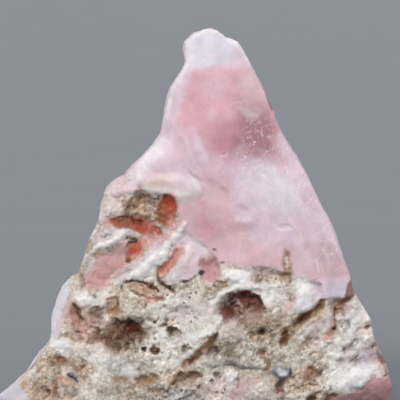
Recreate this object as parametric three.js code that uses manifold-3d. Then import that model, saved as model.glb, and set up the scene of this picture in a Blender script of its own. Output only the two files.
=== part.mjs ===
// A rough piece of pink opal that stands on a flat sawn base. Its upper part is smooth opal, and its lower
// part is weathered white matrix with pits, cracks and opal ridges. The flanks and the back are curved
// fracture faces. Millimetres, +Z up, the weathered face towards -Y, origin at the middle of the base.
import * as THREE from "three";
import { mergeVertices } from "three/addons/utils/BufferGeometryUtils.js";
import Module from "manifold-3d";

// Driving dimensions.
const HEIGHT = 96.25;
const WIDTH = 99.8;
const BASE_DEPTH = 41;
const FRONT_LEAN = 0.09; // how far the face leans back for each millimetre of height
const RELIEF_STEP = 1.3; // spacing of the points that carry the face's relief
const FRACTURE_STEP = 5; // size of the facets on a fracture face
const SAWN_BASE = 0;
const MIDDLE_SHIFT = 1.3; // moves the finished stone forwards, so that the origin is at the middle of its depth

// The outline seen from the front, as [x, z], from the tip down the right edge to the base.
const RIGHT_EDGE = [
  [4.5, HEIGHT], [6, 95.6], [8, 94], [11.2, 93], [12.6, 90.8], [14.2, 88], [18.2, 81], [19.4, 77.5],
  [20.8, 73.8], [23.2, 68.8], [26.5, 63.6], [29.6, 58.2], [33.6, 49.8], [36.4, 43.6], [38.8, 36.4],
  [40.3, 30.8], [42.4, 27.4], [44.4, 23.8], [45.4, 19.8], [46.5, 16.4], [48.2, 13], [49.4, 9.4],
  [WIDTH / 2, 6.6], [49.6, 4], [48.4, 1.6], [46.4, SAWN_BASE],
];

// The left edge, from the base up to the tip.
const LEFT_EDGE = [
  [-47.2, SAWN_BASE], [-49.2, 1.4], [-WIDTH / 2, 3], [-48.6, 4.4], [-45.6, 6.4], [-42.6, 9],
  [-39.6, 13.2], [-37.2, 16.6], [-35.8, 19], [-35.6, 23.6], [-34.4, 28.2], [-32.6, 32], [-30.6, 34],
  [-28.6, 34.8], [-27.6, 39], [-26, 43.8], [-24, 47.6], [-23.2, 52], [-22, 55.8], [-20, 57.8],
  [-17.4, 59], [-13.4, 63.6], [-10.2, 67], [-8.2, 69.6], [-7.4, 74], [-6.6, 78.8], [-5.6, 81.6],
  [-4.4, 83.6], [-2.8, 85.8], [-2, 88.2], [-2.4, 90.8], [-2, 93], [0, 94.8], [2, 95.9],
];

// The lower limit of the smooth opal on the face, from left to right. Weathered matrix lies below it.
const OPAL_LIMIT = [
  [-24, 54], [-19, 55], [-13.2, 56], [-7, 55], [-4.2, 54], [-3.2, 47.8], [-0.8, 45], [3, 42.5], [5.5, 40],
  [7.2, 37.8], [17.2, 37], [24.8, 34.8], [31.8, 32.8], [33.2, 29], [40, 29.4],
];

// Sloping facets of the face. What lies to the left of the line, looking from its first end to its second
// end, falls back by the slope for each millimetre. The slope fades out beyond the line's ends.
const BEVELS = [
  { name: "left shoulder", from: [-20, 52], to: [-3, 74], slope: 0.75 },
  { name: "left of the tip", from: [-3.2, 71.5], to: [-0.4, 92], slope: 0.8 },
  { name: "tip", from: [-4, 86.5], to: [16, 87.5], slope: 0.42 },
  { name: "right of the tip", from: [11.8, 88], to: [24, 64.5], slope: 0.5 },
  { name: "right edge", from: [27, 62], to: [39, 33.5], slope: 0.45 },
  { name: "left flank", from: [-35, 18.4], to: [-28.6, 34.4], slope: 1.6 },
  { name: "lower left flank", from: [-43.2, 0], to: [-41.6, 10.4], slope: 0.9 },
  { name: "lower right corner", from: [50, 10], to: [35, 5.4], slope: 0.75 },
  { name: "foot", from: [50, 2.4], to: [-50, 3.2], slope: 0.6 },
];
const BEVEL_FADE = 4;

// Hollows and knobs of the face: the middle [x, z], the half sizes along and across, the turn in degrees
// from +X towards +Z, and how deep they go. A knob has a negative depth.
const HOLLOWS = [
  { name: "upper pocket", at: [-11.2, 50.6], half: [7.6, 4.9], turn: -10, depth: 3.2 },
  { name: "amber wall of the upper pocket", at: [-6.8, 51], half: [2.8, 4.2], turn: 10, depth: 2 },
  { name: "amber pit", at: [-15, 41.2], half: [2.2, 3], turn: -30, depth: 2.2 },
  { name: "rose pit", at: [4.6, 36.6], half: [2.4, 3.3], turn: 0, depth: 1.2 },
  { name: "tan pit", at: [7.3, 32.8], half: [2.1, 1.9], turn: 0, depth: 1.5 },
  { name: "red cavity", at: [12.3, 27.2], half: [6.2, 4.5], turn: -15, depth: 4 },
  { name: "dark cavity", at: [-17.5, 19.6], half: [7, 4.8], turn: 15, depth: 4.6 },
  { name: "ochre pit", at: [-19.8, 27.6], half: [1.9, 2.7], turn: 0, depth: 1.8 },
  { name: "brown pit", at: [-24.2, 25], half: [2.1, 2], turn: 0, depth: 1.5 },
  { name: "left pit", at: [-29, 24.4], half: [1.9, 3.7], turn: 18, depth: 1.6 },
  { name: "leaf pit", at: [-13.2, 31.6], half: [5.6, 1.8], turn: -14, depth: 1.5 },
  { name: "small round pit", at: [-5, 20.8], half: [2, 1.8], turn: 0, depth: 1.4 },
  { name: "brown round pit", at: [-9.2, 16.5], half: [1.8, 1.8], turn: 0, depth: 1.3 },
  { name: "groove pocket", at: [5.2, 16], half: [2.2, 1.8], turn: 20, depth: 1.4 },
  { name: "tan spike", at: [23.5, 38.4], half: [1.7, 3.8], turn: 0, depth: 0.9 },
  { name: "grey pit", at: [17, 21], half: [1.6, 1.2], turn: 0, depth: 1 },
  { name: "garnet pit", at: [21.6, 7], half: [1.8, 2.2], turn: 0, depth: 1.1 },
  { name: "cream hollow", at: [-3, 25.6], half: [3.4, 2.4], turn: 0, depth: 0.8 },
  { name: "white knob right", at: [27.8, 29], half: [2.8, 4.4], turn: -32, depth: -1.4 },
  { name: "white knob middle", at: [11.2, 34.8], half: [3.4, 2.2], turn: 0, depth: -1.1 },
  { name: "white knob left", at: [-27.6, 28.4], half: [2.1, 2.1], turn: 0, depth: -0.9 },
  { name: "grey crystal", at: [22.2, 11], half: [2.2, 1.4], turn: 8, depth: -1.1 },
  { name: "black crystal", at: [-29.8, 9.8], half: [1.9, 1.6], turn: -30, depth: -0.9 },
  { name: "cream knob", at: [9.8, 9.8], half: [1.9, 1.9], turn: 0, depth: -0.9 },
  { name: "tan knob", at: [-7.2, 11.8], half: [1.8, 1.4], turn: 0, depth: -0.8 },
  { name: "white knob low right", at: [42, 9.6], half: [4, 2.4], turn: 30, depth: -0.9 },
];

// Ridges and cracks of the face: the line they follow as [x, z], their half width, and how deep they go.
// A ridge has a negative depth.
const SEAMS = [
  { name: "lip over the upper pocket",
    along: [[-15.6, 57], [-12.4, 59], [-7, 59.6], [-1, 58.6], [2.4, 56.2]], half: 2.4, depth: -1.3 },
  { name: "fold below the tip",
    along: [[-3.2, 84], [-2.4, 72], [-0.6, 66], [2.5, 56.5]], half: 2, depth: -0.7 },
  { name: "valley in the smooth opal", along: [[3.4, 58.4], [7, 55.6], [11, 52.6]], half: 2.4, depth: 0.8 },
  { name: "amber streak",
    along: [[-21, 48.4], [-18, 49.2], [-12, 47.2], [-8, 46.2]], half: 1.9, depth: 1.7 },
  { name: "ridge under the upper pocket",
    along: [[-24.6, 41.4], [-20.2, 43.8], [-16.2, 46]], half: 1.9, depth: -1.1 },
  { name: "long white ridge",
    along: [[-16, 32.8], [-13, 36], [-9, 40.4], [-5.6, 42.4], [-1.6, 46]], half: 1.8, depth: -1.4 },
  { name: "lavender ridge", along: [[-1.8, 44], [-3.2, 39.4], [-5.2, 35]], half: 1.8, depth: -1.3 },
  { name: "orange crevice", along: [[-3.8, 41.2], [-7, 36.8], [-9, 34.6]], half: 1.9, depth: 1.6 },
  { name: "dark crack", along: [[-8.8, 33.6], [-6.8, 32], [-4.4, 31]], half: 1.8, depth: 1.1 },
  { name: "arch round the red cavity",
    along: [[18, 31.6], [14.2, 32.4], [10.2, 32], [7, 30], [5.6, 27.4], [6, 23.6], [4, 20.6], [0.6, 19.2]],
    half: 1.9, depth: -2 },
  { name: "ochre groove",
    along: [[6.6, 20.6], [4.6, 17.6], [1.2, 14.8], [-3, 12.2]], half: 1.8, depth: 1.5 },
  { name: "brown groove",
    along: [[1.6, 10.6], [-1.6, 9.8], [-5, 8.2], [-10.8, 9], [-14.4, 8.8]], half: 1.8, depth: 1.2 },
  { name: "diagonal groove",
    along: [[32.6, 28.6], [29.4, 25.2], [26.6, 22.4], [23.8, 20], [21.6, 16.8]], half: 2, depth: 2 },
  { name: "right groove",
    along: [[39, 29.4], [36.8, 26.4], [35.2, 22.6], [33.6, 18.6]], half: 1.8, depth: 1.3 },
  { name: "left white ledge",
    along: [[-34, 17.8], [-29.4, 16.4], [-24.4, 14.4], [-20.2, 12.4], [-14.4, 10.2]],
    half: 2.2, depth: -1.2 },
  { name: "grey ledge", along: [[1, 12.2], [4.8, 13.2], [8.2, 14], [15.8, 12.6]], half: 1.8, depth: -1 },
  { name: "crack under the grey ledge", along: [[8.2, 11.6], [12, 10.6], [17, 10.2]], half: 1.7, depth: 1 },
];

// Roughness of the face: the height of its lumps in opal and in matrix, and their size.
const OPAL_LUMPS = { height: 0.7, size: 11 };
const MATRIX_LUMPS = { height: 2.2, size: 6.5 };
const MATRIX_GRAIN = { height: 1, size: 3.2 };
const LIMIT_LEDGE = 0.9; // how far the matrix lies behind the opal
const LIMIT_SOFTNESS = 1.6;

// Fracture faces of the flanks and the back. Each is a hollow sphere of the radius that passes through the
// point and faces the way given.
const FRACTURES = [
  { name: "back, lower", through: [2, 20.5, 14], facing: [0.04, 1, 0.02], radius: 210 },
  { name: "back, upper", through: [6, 14.6, 56], facing: [0.1, 1, 0.26], radius: 120 },
  { name: "back of the tip", through: [5, 7.4, 84], facing: [-0.12, 1, 0.3], radius: 60 },
  { name: "top of the tip", through: [4, 0.5, 94.6], facing: [0.1, 0.5, 0.85], radius: 30 },
  { name: "right flank, lower", through: [39, -1, 22], facing: [0.82, 0.46, 0.3], radius: 60 },
  { name: "right flank, upper", through: [23.5, -2, 58], facing: [0.74, 0.55, 0.36], radius: 80 },
  { name: "right of the tip, behind", through: [13.2, -1, 80], facing: [0.78, 0.5, 0.3], radius: 50 },
  { name: "left flank, lower", through: [-35.5, -2, 14], facing: [-0.76, 0.5, 0.3], radius: 42 },
  { name: "left flank, middle", through: [-22, -3, 40], facing: [-0.8, 0.56, 0.2], radius: 52 },
  { name: "left flank, upper", through: [-9, 1, 66], facing: [-0.66, 0.62, 0.42], radius: 64 },
  { name: "back, lower right", through: [30, 16, 10], facing: [0.42, 0.9, -0.06], radius: 70 },
  { name: "back, lower left", through: [-24, 16, 16], facing: [-0.5, 0.86, 0.1], radius: 60 },
  { name: "back, middle", through: [-4, 17, 38], facing: [-0.3, 0.94, 0.16], radius: 75 },
];
const FRACTURE_LUMPS = { height: 1.6, size: 9 };

// A repeatable number between 0 and 1 for a point of a whole-number lattice.
function latticeValue(i, j, k) {
  const s = Math.sin(i * 127.1 + j * 311.7 + k * 74.7) * 43758.5453;
  return s - Math.floor(s);
}

// Smooth noise between -0.5 and 0.5, in lumps of about the given size.
function lumps(x, y, z, size) {
  const cell = [x, y, z].map((v) => Math.floor(v / size));
  const ease = [x, y, z].map((v, n) => {
    const t = v / size - cell[n];
    return t * t * (3 - 2 * t);
  });
  let sum = 0;
  for (let corner = 0; corner < 8; corner++) {
    const step = [corner & 1, (corner >> 1) & 1, (corner >> 2) & 1];
    const weight = step.reduce((w, s, n) => w * (s ? ease[n] : 1 - ease[n]), 1);
    sum += weight * latticeValue(cell[0] + step[0], cell[1] + step[1], cell[2] + step[2]);
  }
  return sum - 0.5;
}

function smoothStep(low, high, value) {
  const t = Math.min(1, Math.max(0, (value - low) / (high - low)));
  return t * t * (3 - 2 * t);
}

// Distance from a point to the line through the given points.
function distanceToLine([px, pz], line) {
  let nearest = Infinity;
  for (let n = 1; n < line.length; n++) {
    const [ax, az] = line[n - 1];
    const [bx, bz] = line[n];
    const along = ((px - ax) * (bx - ax) + (pz - az) * (bz - az)) / ((bx - ax) ** 2 + (bz - az) ** 2);
    const t = Math.min(1, Math.max(0, along));
    nearest = Math.min(nearest, Math.hypot(px - ax - t * (bx - ax), pz - az - t * (bz - az)));
  }
  return nearest;
}

// How far a bevel's facet falls back at a point.
function bevelDrop({ from, to, slope }, x, z) {
  const length = Math.hypot(to[0] - from[0], to[1] - from[1]);
  const [dx, dz] = [(to[0] - from[0]) / length, (to[1] - from[1]) / length];
  const side = dx * (z - from[1]) - dz * (x - from[0]);
  const along = dx * (x - from[0]) + dz * (z - from[1]);
  const past = Math.max(-along, along - length);
  return slope * Math.max(0, side) * (1 - smoothStep(0, BEVEL_FADE, past));
}

// How deep a hollow or knob is at a point: full in the middle, with a steep rim.
function hollowDrop({ at, half, turn, depth }, x, z) {
  const angle = THREE.MathUtils.degToRad(turn);
  const along = (x - at[0]) * Math.cos(angle) + (z - at[1]) * Math.sin(angle);
  const across = (z - at[1]) * Math.cos(angle) - (x - at[0]) * Math.sin(angle);
  const reach = Math.hypot(along / half[0], across / half[1]);
  return depth * (1 - smoothStep(0.35, 1.1, reach));
}

function seamDrop({ along, half, depth }, x, z) {
  return depth * (1 - smoothStep(0.1, 1.1, distanceToLine([x, z], along) / half));
}

// The height of the opal's lower limit at x.
function opalLimitAt(x) {
  const n = OPAL_LIMIT.findIndex(([limitX]) => limitX >= x);
  if (n <= 0) return OPAL_LIMIT.at(n === 0 ? 0 : -1)[1];
  const [ax, az] = OPAL_LIMIT[n - 1];
  const [bx, bz] = OPAL_LIMIT[n];
  return az + ((bz - az) * (x - ax)) / (bx - ax);
}

// The face's own y at a point of the outline's plane.
function faceAt(x, z) {
  const matrix = 1 - smoothStep(-LIMIT_SOFTNESS, LIMIT_SOFTNESS, z - opalLimitAt(x));
  let y = -BASE_DEPTH / 2 + FRONT_LEAN * z + LIMIT_LEDGE * matrix;
  y += OPAL_LUMPS.height * lumps(x, 0, z, OPAL_LUMPS.size);
  y += matrix * MATRIX_LUMPS.height * lumps(x, 5, z, MATRIX_LUMPS.size);
  y += matrix * MATRIX_GRAIN.height * lumps(x, 9, z, MATRIX_GRAIN.size);
  for (const bevel of BEVELS) y += bevelDrop(bevel, x, z);
  for (const hollow of HOLLOWS) y += hollowDrop(hollow, x, z);
  for (const seam of SEAMS) y += seamDrop(seam, x, z);
  return y;
}

const wasm = await Module();
wasm.setup();

// The geometry with its shared vertices merged and nothing but positions left.
function merged(geometry) {
  geometry.deleteAttribute("normal");
  geometry.deleteAttribute("uv");
  return mergeVertices(geometry, 1e-4);
}

// A solid of a closed, merged geometry.
function solidOf({ attributes, index }) {
  const vertProperties = attributes.position.array;
  const triVerts = new Uint32Array(index.array);
  return new wasm.Manifold(new wasm.Mesh({ numProp: 3, vertProperties, triVerts }));
}

// Gives each quad of a grid its shorter diagonal, so that ridges and cracks across the grid stay smooth.
function shortenDiagonals({ attributes, index }) {
  const corner = (n) => new THREE.Vector3().fromBufferAttribute(attributes.position, n);
  for (let n = 0; n < index.count; n += 6) {
    const [a, b, d, , c] = index.array.slice(n, n + 6);
    const turned = corner(a).distanceTo(corner(c)) < corner(b).distanceTo(corner(d));
    if (turned) index.array.set([a, b, c, a, c, d], n);
  }
}

// The outline drawn out from front to back.
function blockSolid() {
  const depth = 2 * BASE_DEPTH;
  const shape = new THREE.Shape([...RIGHT_EDGE, ...LEFT_EDGE].map(([x, z]) => new THREE.Vector2(x, z)));
  const block = new THREE.ExtrudeGeometry(shape, { depth, bevelEnabled: false });
  block.rotateX(Math.PI / 2);
  block.translate(0, BASE_DEPTH, 0);
  return solidOf(merged(block));
}

// Everything in front of the face.
function spaceBeforeFace() {
  const margin = 4;
  const width = WIDTH + 2 * margin;
  const height = HEIGHT + 2 * margin;
  const depth = 3 * BASE_DEPTH;
  const columns = Math.round(width / RELIEF_STEP);
  const rows = Math.round(height / RELIEF_STEP);
  const box = new THREE.BoxGeometry(width, depth, height, columns, 1, rows);
  const space = merged(box.translate(0, 0, HEIGHT / 2));
  const points = space.attributes.position;
  for (let n = 0; n < points.count; n++) {
    if (points.getY(n) > 0) points.setY(n, faceAt(points.getX(n), points.getZ(n)));
  }
  shortenDiagonals(space);
  return solidOf(space);
}

// The ball whose skin is one fracture face.
function fractureSolid({ through, facing, radius }) {
  const ball = merged(new THREE.IcosahedronGeometry(radius, Math.round(radius / FRACTURE_STEP)));
  const centre = new THREE.Vector3(...facing).setLength(radius).add(new THREE.Vector3(...through));
  const points = ball.attributes.position;
  const point = new THREE.Vector3();
  for (let n = 0; n < points.count; n++) {
    point.fromBufferAttribute(points, n);
    const world = point.clone().add(centre);
    const height = FRACTURE_LUMPS.height * lumps(world.x, world.y, world.z, FRACTURE_LUMPS.size);
    point.setLength(radius + height).add(centre);
    points.setXYZ(n, point.x, point.y, point.z);
  }
  return solidOf(ball);
}

function stoneGeometry() {
  let stone = blockSolid().subtract(spaceBeforeFace());
  for (const fracture of FRACTURES) stone = stone.subtract(fractureSolid(fracture));
  const mesh = stone.getMesh();
  const geometry = new THREE.BufferGeometry();
  geometry.setAttribute("position", new THREE.BufferAttribute(mesh.vertProperties, 3));
  geometry.setIndex(new THREE.BufferAttribute(mesh.triVerts, 1));
  geometry.translate(0, -MIDDLE_SHIFT, 0);
  geometry.computeVertexNormals();
  return geometry;
}

const opal = new THREE.MeshStandardMaterial({ color: 0xdcb9bd, roughness: 0.45, metalness: 0 });
const stone = new THREE.Mesh(stoneGeometry(), opal);
stone.name = "pink_opal";

const specimen = new THREE.Group();
specimen.add(stone);

export default specimen;
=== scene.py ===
"""A rough piece of pink opal standing on a pale floor.

The stone is one mesh in millimetres, drawn from the same outline, face and fractures as the solid, with
finer relief. Spots, strokes and patches say which pigment lies where, and one node material mixes the
pigments.
"""

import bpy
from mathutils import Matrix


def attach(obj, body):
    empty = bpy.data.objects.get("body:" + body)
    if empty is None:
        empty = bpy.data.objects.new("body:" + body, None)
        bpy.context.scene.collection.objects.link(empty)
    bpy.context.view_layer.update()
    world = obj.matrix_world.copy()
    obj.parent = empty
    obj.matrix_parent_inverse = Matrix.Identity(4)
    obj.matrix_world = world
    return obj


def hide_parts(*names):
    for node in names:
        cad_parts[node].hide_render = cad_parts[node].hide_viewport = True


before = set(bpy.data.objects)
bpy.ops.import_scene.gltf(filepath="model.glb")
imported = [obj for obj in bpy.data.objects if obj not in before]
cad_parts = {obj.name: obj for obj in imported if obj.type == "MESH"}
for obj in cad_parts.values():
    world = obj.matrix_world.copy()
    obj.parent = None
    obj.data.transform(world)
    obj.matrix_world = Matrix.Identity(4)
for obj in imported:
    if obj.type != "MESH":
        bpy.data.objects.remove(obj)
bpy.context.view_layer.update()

import math

import bpy
import numpy as np
from mathutils import Vector

MM = 0.001

# Driving dimensions of the solid, in millimetres.
HEIGHT = 96.25
HALF_WIDTH = 49.9
BASE_DEPTH = 41
FRONT_LEAN = 0.09
GRID_STEP = (0.32, 0.8, 0.32)  # spacing of the points that the stone's surface is drawn from
MIDDLE_SHIFT = 1.3  # the outline and the face are drawn this far behind their place in the stone's frame
MOST_TRIANGLES = 196000
FACE_SKIN = 1.5  # what lies deeper than this behind the face belongs to the flanks and the back

# The outline seen from the front, as (x, z): from the tip down the right edge, then from the base up the
# left one.
RIGHT_EDGE = [
    (4.5, HEIGHT), (6, 95.6), (8, 94), (11.2, 93), (12.6, 90.8), (14.2, 88), (18.2, 81), (19.4, 77.5),
    (20.8, 73.8), (23.2, 68.8), (26.5, 63.6), (29.6, 58.2), (33.6, 49.8), (36.4, 43.6), (38.8, 36.4),
    (40.3, 30.8), (42.4, 27.4), (44.4, 23.8), (45.4, 19.8), (46.5, 16.4), (48.2, 13), (49.4, 9.4),
    (HALF_WIDTH, 6.6), (49.6, 4), (48.4, 1.6), (46.4, 0),
]
LEFT_EDGE = [
    (-47.2, 0), (-49.2, 1.4), (-HALF_WIDTH, 3), (-48.6, 4.4), (-45.6, 6.4), (-42.6, 9), (-39.6, 13.2),
    (-37.2, 16.6), (-35.8, 19), (-35.6, 23.6), (-34.4, 28.2), (-32.6, 32), (-30.6, 34), (-28.6, 34.8),
    (-27.6, 39), (-26, 43.8), (-24, 47.6), (-23.2, 52), (-22, 55.8), (-20, 57.8), (-17.4, 59),
    (-13.4, 63.6), (-10.2, 67), (-8.2, 69.6), (-7.4, 74), (-6.6, 78.8), (-5.6, 81.6), (-4.4, 83.6),
    (-2.8, 85.8), (-2, 88.2), (-2.4, 90.8), (-2, 93), (0, 94.8), (2, 95.9),
]

# The lower limit of the smooth opal on the face, from left to right. Weathered matrix lies below it.
OPAL_LIMIT = [
    (-24, 54), (-19, 55), (-13.2, 56), (-7, 55), (-4.2, 54), (-3.2, 47.8), (-0.8, 45), (3, 42.5), (5.5, 40),
    (7.2, 37.8), (17.2, 37), (24.8, 34.8), (31.8, 32.8), (33.2, 29), (40, 29.4),
]

# Sloping facets of the face: the two ends of a line, the slope to the left of it, and its rounding.
BEVELS = {
    "left shoulder": ((-20, 52), (-7, 68.8), 0.7, 2),
    "left of the tip": ((-5, 68), (-0.4, 92), 0.4, 2),
    "tip": ((-4, 86.5), (16, 87.5), 0.42, 1.6),
    "right of the tip": ((11.8, 88), (24, 64.5), 0.5, 2.4),
    "right edge": ((27, 62), (39, 33.5), 0.45, 1.6),
    "left flank": ((-35, 18.4), (-28.6, 34.4), 1.6, 0.6),
    "lower left flank": ((-43.2, 0), (-41.6, 10.4), 0.9, 0.6),
    "lower right corner": ((50, 10), (35, 5.4), 0.35, 0.8),
    "foot": ((50, 2.4), (-50, 3.2), 0.6, 0.8),
}
BEVEL_FADE = 5

# Hollows of the face: the middle, the half sizes, the turn in degrees and the depth. A knob's depth is
# negative.
HOLLOWS = {
    "upper pocket": ((-13, 50.6), (5.6, 4.2), -10, 1),
    "amber wall": ((-6.6, 51.2), (2.6, 4), -12, 0.6),
    "amber pit": ((-15, 41.2), (2.2, 3), -30, 1),
    "rose pit": ((4.6, 36.6), (2.4, 3.3), 0, 0.7),
    "tan pit": ((7, 32.7), (2.1, 1.9), 0, 1.5),
    "red cavity": ((12.3, 27.4), (6, 4.2), -15, 2.6),
    "dark cavity": ((-17.5, 19.6), (7, 4.8), 15, 3),
    "ochre pit": ((-19.8, 27.4), (1.9, 2.7), 0, 0.9),
    "brown pit": ((-24.2, 25.4), (2.1, 2), 0, 0.8),
    "left pit": ((-29, 24.4), (1.9, 3.7), 18, 0.7),
    "leaf pit": ((-13.2, 31.4), (5.6, 1.8), -14, 0.8),
    "small round pit": ((-5, 20.8), (1.8, 1.4), 0, 1.7),
    "brown round pit": ((-9.4, 16.3), (1.3, 1.3), 0, 1.8),
    "black round pit": ((-12.3, 16.3), (0.9, 1.1), 0, 1.6),
    "grey round pit": ((-1.9, 16.2), (1.5, 1.2), 0, 0.9),
    "groove pocket": ((5.2, 15.9), (2, 1.5), 20, 1.6),
    "tan spike": ((23.5, 38.2), (1.4, 3.8), 0, 0.8),
    "grey pit": ((17.2, 21), (1.7, 1.2), 0, 1.1),
    "garnet pit": ((21.6, 7), (1.6, 2.2), 0, 1.2),
    "cream hollow": ((-3, 25.6), (3.4, 2.4), 0, 0.8),
    "knob right": ((27.8, 29), (2.8, 4.4), -32, -1.4),
    "knob middle": ((11.2, 34.8), (3.4, 2.2), 0, -1.1),
    "knob left": ((-27.6, 28.4), (2.1, 2.1), 0, -0.9),
    "grey crystal": ((22.2, 10.8), (2.2, 1.4), 8, -1.2),
    "black crystal": ((-29.8, 9.8), (1.6, 1), -38, -0.8),
    "cream knob": ((9.8, 9.8), (1.9, 1.9), 0, -0.9),
    "tan knob": ((-7.2, 11.8), (1.8, 1.4), 0, -0.8),
    "knob low right": ((42, 9.6), (4, 2.4), 30, -0.9),
    "chip in the opal": ((12.2, 50.8), (2.8, 2.2), -35, 0.3),
    "small chip": ((23, 47.2), (2.2, 0.9), 0, 0.25),
    "shelf of the lip": ((-5.4, 57), (9.4, 3.8), -4, -0.7),
    "dish low in the opal": ((12, 43.5), (9, 5), 15, 0.3),
}

# Grooves and cracks of the face: the line they follow, the half width and the depth. A ridge's depth is
# negative.
SEAMS = {
    "edge of the lip": ([(-1.4, 61), (1.6, 58.6), (2.7, 56), (2.2, 54)], 0.9, 0.2),
    "fold below the tip": ([(-3.2, 84), (-2.4, 72), (-0.6, 66), (2.5, 58.5)], 3, -0.4),
    "fold of the opal": ([(1, 68), (4.5, 61.5), (8.5, 56.5)], 2, -0.35),
    "valley of the opal": ([(3.4, 58.4), (7, 55.6), (11, 52.6)], 3.4, 0.25),
    "amber streak": ([(-20, 48.5), (-17, 48.4), (-12.3, 47.3), (-8.6, 46.3)], 1.9, 0.5),
    "ridge under the pocket": ([(-24.6, 41.2), (-20.2, 43.8), (-16.2, 46)], 1.4, -0.7),
    "long white ridge": ([(-17, 33.8), (-13.2, 35.5), (-9, 39.6), (-5.6, 43), (-2, 48)], 1.4, -0.5),
    "lavender ridge": ([(-0.6, 42.4), (-3.7, 37.3), (-6, 34.4)], 2.6, -0.5),
    "orange crevice": ([(-3.5, 41.6), (-5.9, 38), (-9, 35)], 1.3, 0.9),
    "dark crack": ([(-8.8, 35), (-8.6, 33.6), (-6.3, 32), (-4.4, 31)], 0.7, 1),
    "arch": ([(18, 31.8), (14.2, 32.6), (10.1, 31.7), (7.3, 29.7), (5.4, 27.4), (4.9, 25), (5.8, 23.4),
              (4.6, 21), (1.4, 19.8)], 1.5, -1.2),
    "ochre groove": ([(6.4, 20.8), (5.2, 18.6), (2.8, 16.3), (0.2, 14.2), (-2.8, 12.3)], 1.3, 1.2),
    "brown groove": ([(1.6, 10.3), (-1, 9.9), (-3.3, 9), (-5.6, 7.8)], 1.1, 0.8),
    "brown groove left": ([(-8.6, 9.6), (-10.5, 9), (-14.4, 8.8)], 1.1, 0.6),
    "diagonal groove": ([(32.9, 28.6), (30.8, 26.2), (28.4, 24.9), (26.2, 22.9), (24.2, 21), (21.8, 17.4)],
                        1.7, 1.8),
    "right groove": ([(38.9, 29.6), (36.7, 26.7), (35.3, 23.8), (34.8, 21.7), (33.6, 18.7)], 1.2, 0.9),
    "left white ledge": ([(-34, 17.8), (-29.4, 16.2), (-24.4, 14.2), (-20.2, 12.4), (-14.4, 10.2)],
                         2.4, -0.5),
    "grey ledge": ([(1, 12.2), (4.8, 13.2), (8.2, 13.9), (15.8, 12.4)], 1.3, -0.5),
    "crack under the ledge": ([(8.2, 12.3), (12, 11.4), (17, 11)], 0.5, 0.6),
    "crack by the white knob": ([(29.2, 33.5), (30.4, 34), (31.6, 34.7)], 0.5, 0.1),
    "leaf line above": ([(-18, 32.3), (-16.4, 33.5), (-13.8, 33.4), (-10, 31.8), (-8.4, 31)], 0.6, 0.8),
    "leaf line below": ([(-15.8, 30.8), (-13.4, 29.8), (-10.5, 29.2), (-6.7, 29)], 0.6, 0.8),
}

# Roughness of the face and the flanks, as height and size.
OPAL_SWELL = (0.7, 11)
OPAL_RIPPLE = (0.16, 2.6)
MATRIX_SWELL = (2.2, 6.5)
MATRIX_LUMPS = (0.8, 3.2)
MATRIX_BOWLS = (0.9, 3.6)
MATRIX_CREASES = (2.2, 4.2)
MATRIX_CRUMBS = (0.9, 1.1)
MATRIX_GRIT = (0.55, 0.75)
MATRIX_STREAKS = (1.9, 2)
FLANK_LUMPS = (0.7, 4)
FLANK_GRIT = (0.3, 1.2)
FRACTURE_LUMPS = (1.6, 9)
FRACTURE_RIPPLE = (0.12, 1.6)
MEAN_SCOOP = 0.22
MEAN_CREASE = 0.13
STREAKS_START = (22, 30)  # the x at which the streaks begin and reach their full height
WANDER = [(0.4, 5), (1, 1.8), (0.5, 0.7)]  # how far features are moved about, in lumps of which size
HOLLOW_EDGE = (0.45, 1.1)  # the side of a hollow lies between these shares of its half size
SEAM_EDGE = (0.1, 1.1)  # the same for the half width of a groove
HOLLOW_ROUGHNESS = 0.45  # how much rougher the matrix is for each millimetre of a hollow's depth
LIMIT_LEDGE = 0.9
LIMIT_SOFTNESS = 1.1
LINE_TAPER = 0.6  # how much a ridge, a groove or a stroke fades at its ends
WAVER = 0.55  # how much the width of a feature varies

# Fracture faces of the flanks and the back: a point of each, the way it faces, and its hollow's radius.
FRACTURES = {
    "back, lower": ((2, 20.5, 14), (0.04, 1, 0.02), 210),
    "back, upper": ((6, 14.6, 56), (0.1, 1, 0.26), 120),
    "back of the tip": ((5, 7.4, 84), (-0.12, 1, 0.3), 60),
    "top of the tip": ((4, 0.5, 94.6), (0.1, 0.5, 0.85), 30),
    "right flank, lower": ((39, -1, 22), (0.82, 0.46, 0.3), 60),
    "right flank, upper": ((23.5, -2, 58), (0.74, 0.55, 0.36), 80),
    "right of the tip, behind": ((13.2, -1, 80), (0.78, 0.5, 0.3), 50),
    "left flank, lower": ((-35.5, -2, 14), (-0.76, 0.5, 0.3), 42),
    "left flank, middle": ((-22, -3, 40), (-0.8, 0.56, 0.2), 52),
    "left flank, upper": ((-9, 1, 66), (-0.66, 0.62, 0.42), 64),
    "back, lower right": ((30, 16, 10), (0.42, 0.9, -0.06), 70),
    "back, lower left": ((-24, 16, 16), (-0.5, 0.86, 0.1), 60),
    "back, middle": ((-4, 17, 38), (-0.3, 0.94, 0.16), 75),
}

# White veins of the flanks and the back: the way each one faces, and its distance from the origin.
VEINS = [
    ((0.5, 0.2, 0.8), 34), ((-0.6, 0.1, 0.75), 41), ((0.8, 0.1, -0.2), 6), ((0.2, 0.1, 0.95), 62),
    ((-0.9, 0.2, 0.2), 17), ((0.6, 0.3, 0.55), 60), ((-0.3, 0.2, 0.9), 80),
]

# Painted shade: dusky patches on the right flank behind the face's edge, where it is in shade: x, z and size.
FLANK_SHADE = [(19, 79, 4), (40, 31.4, 4.5), (46, 9, 9)]

# Depths behind the face at which something of the face ends: where it begins to fade, and where it is gone.
FACE_END = (FACE_SKIN, 3.5)
CRUST_END = (5, 5.8)
RIM_END = (3, 9)

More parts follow.
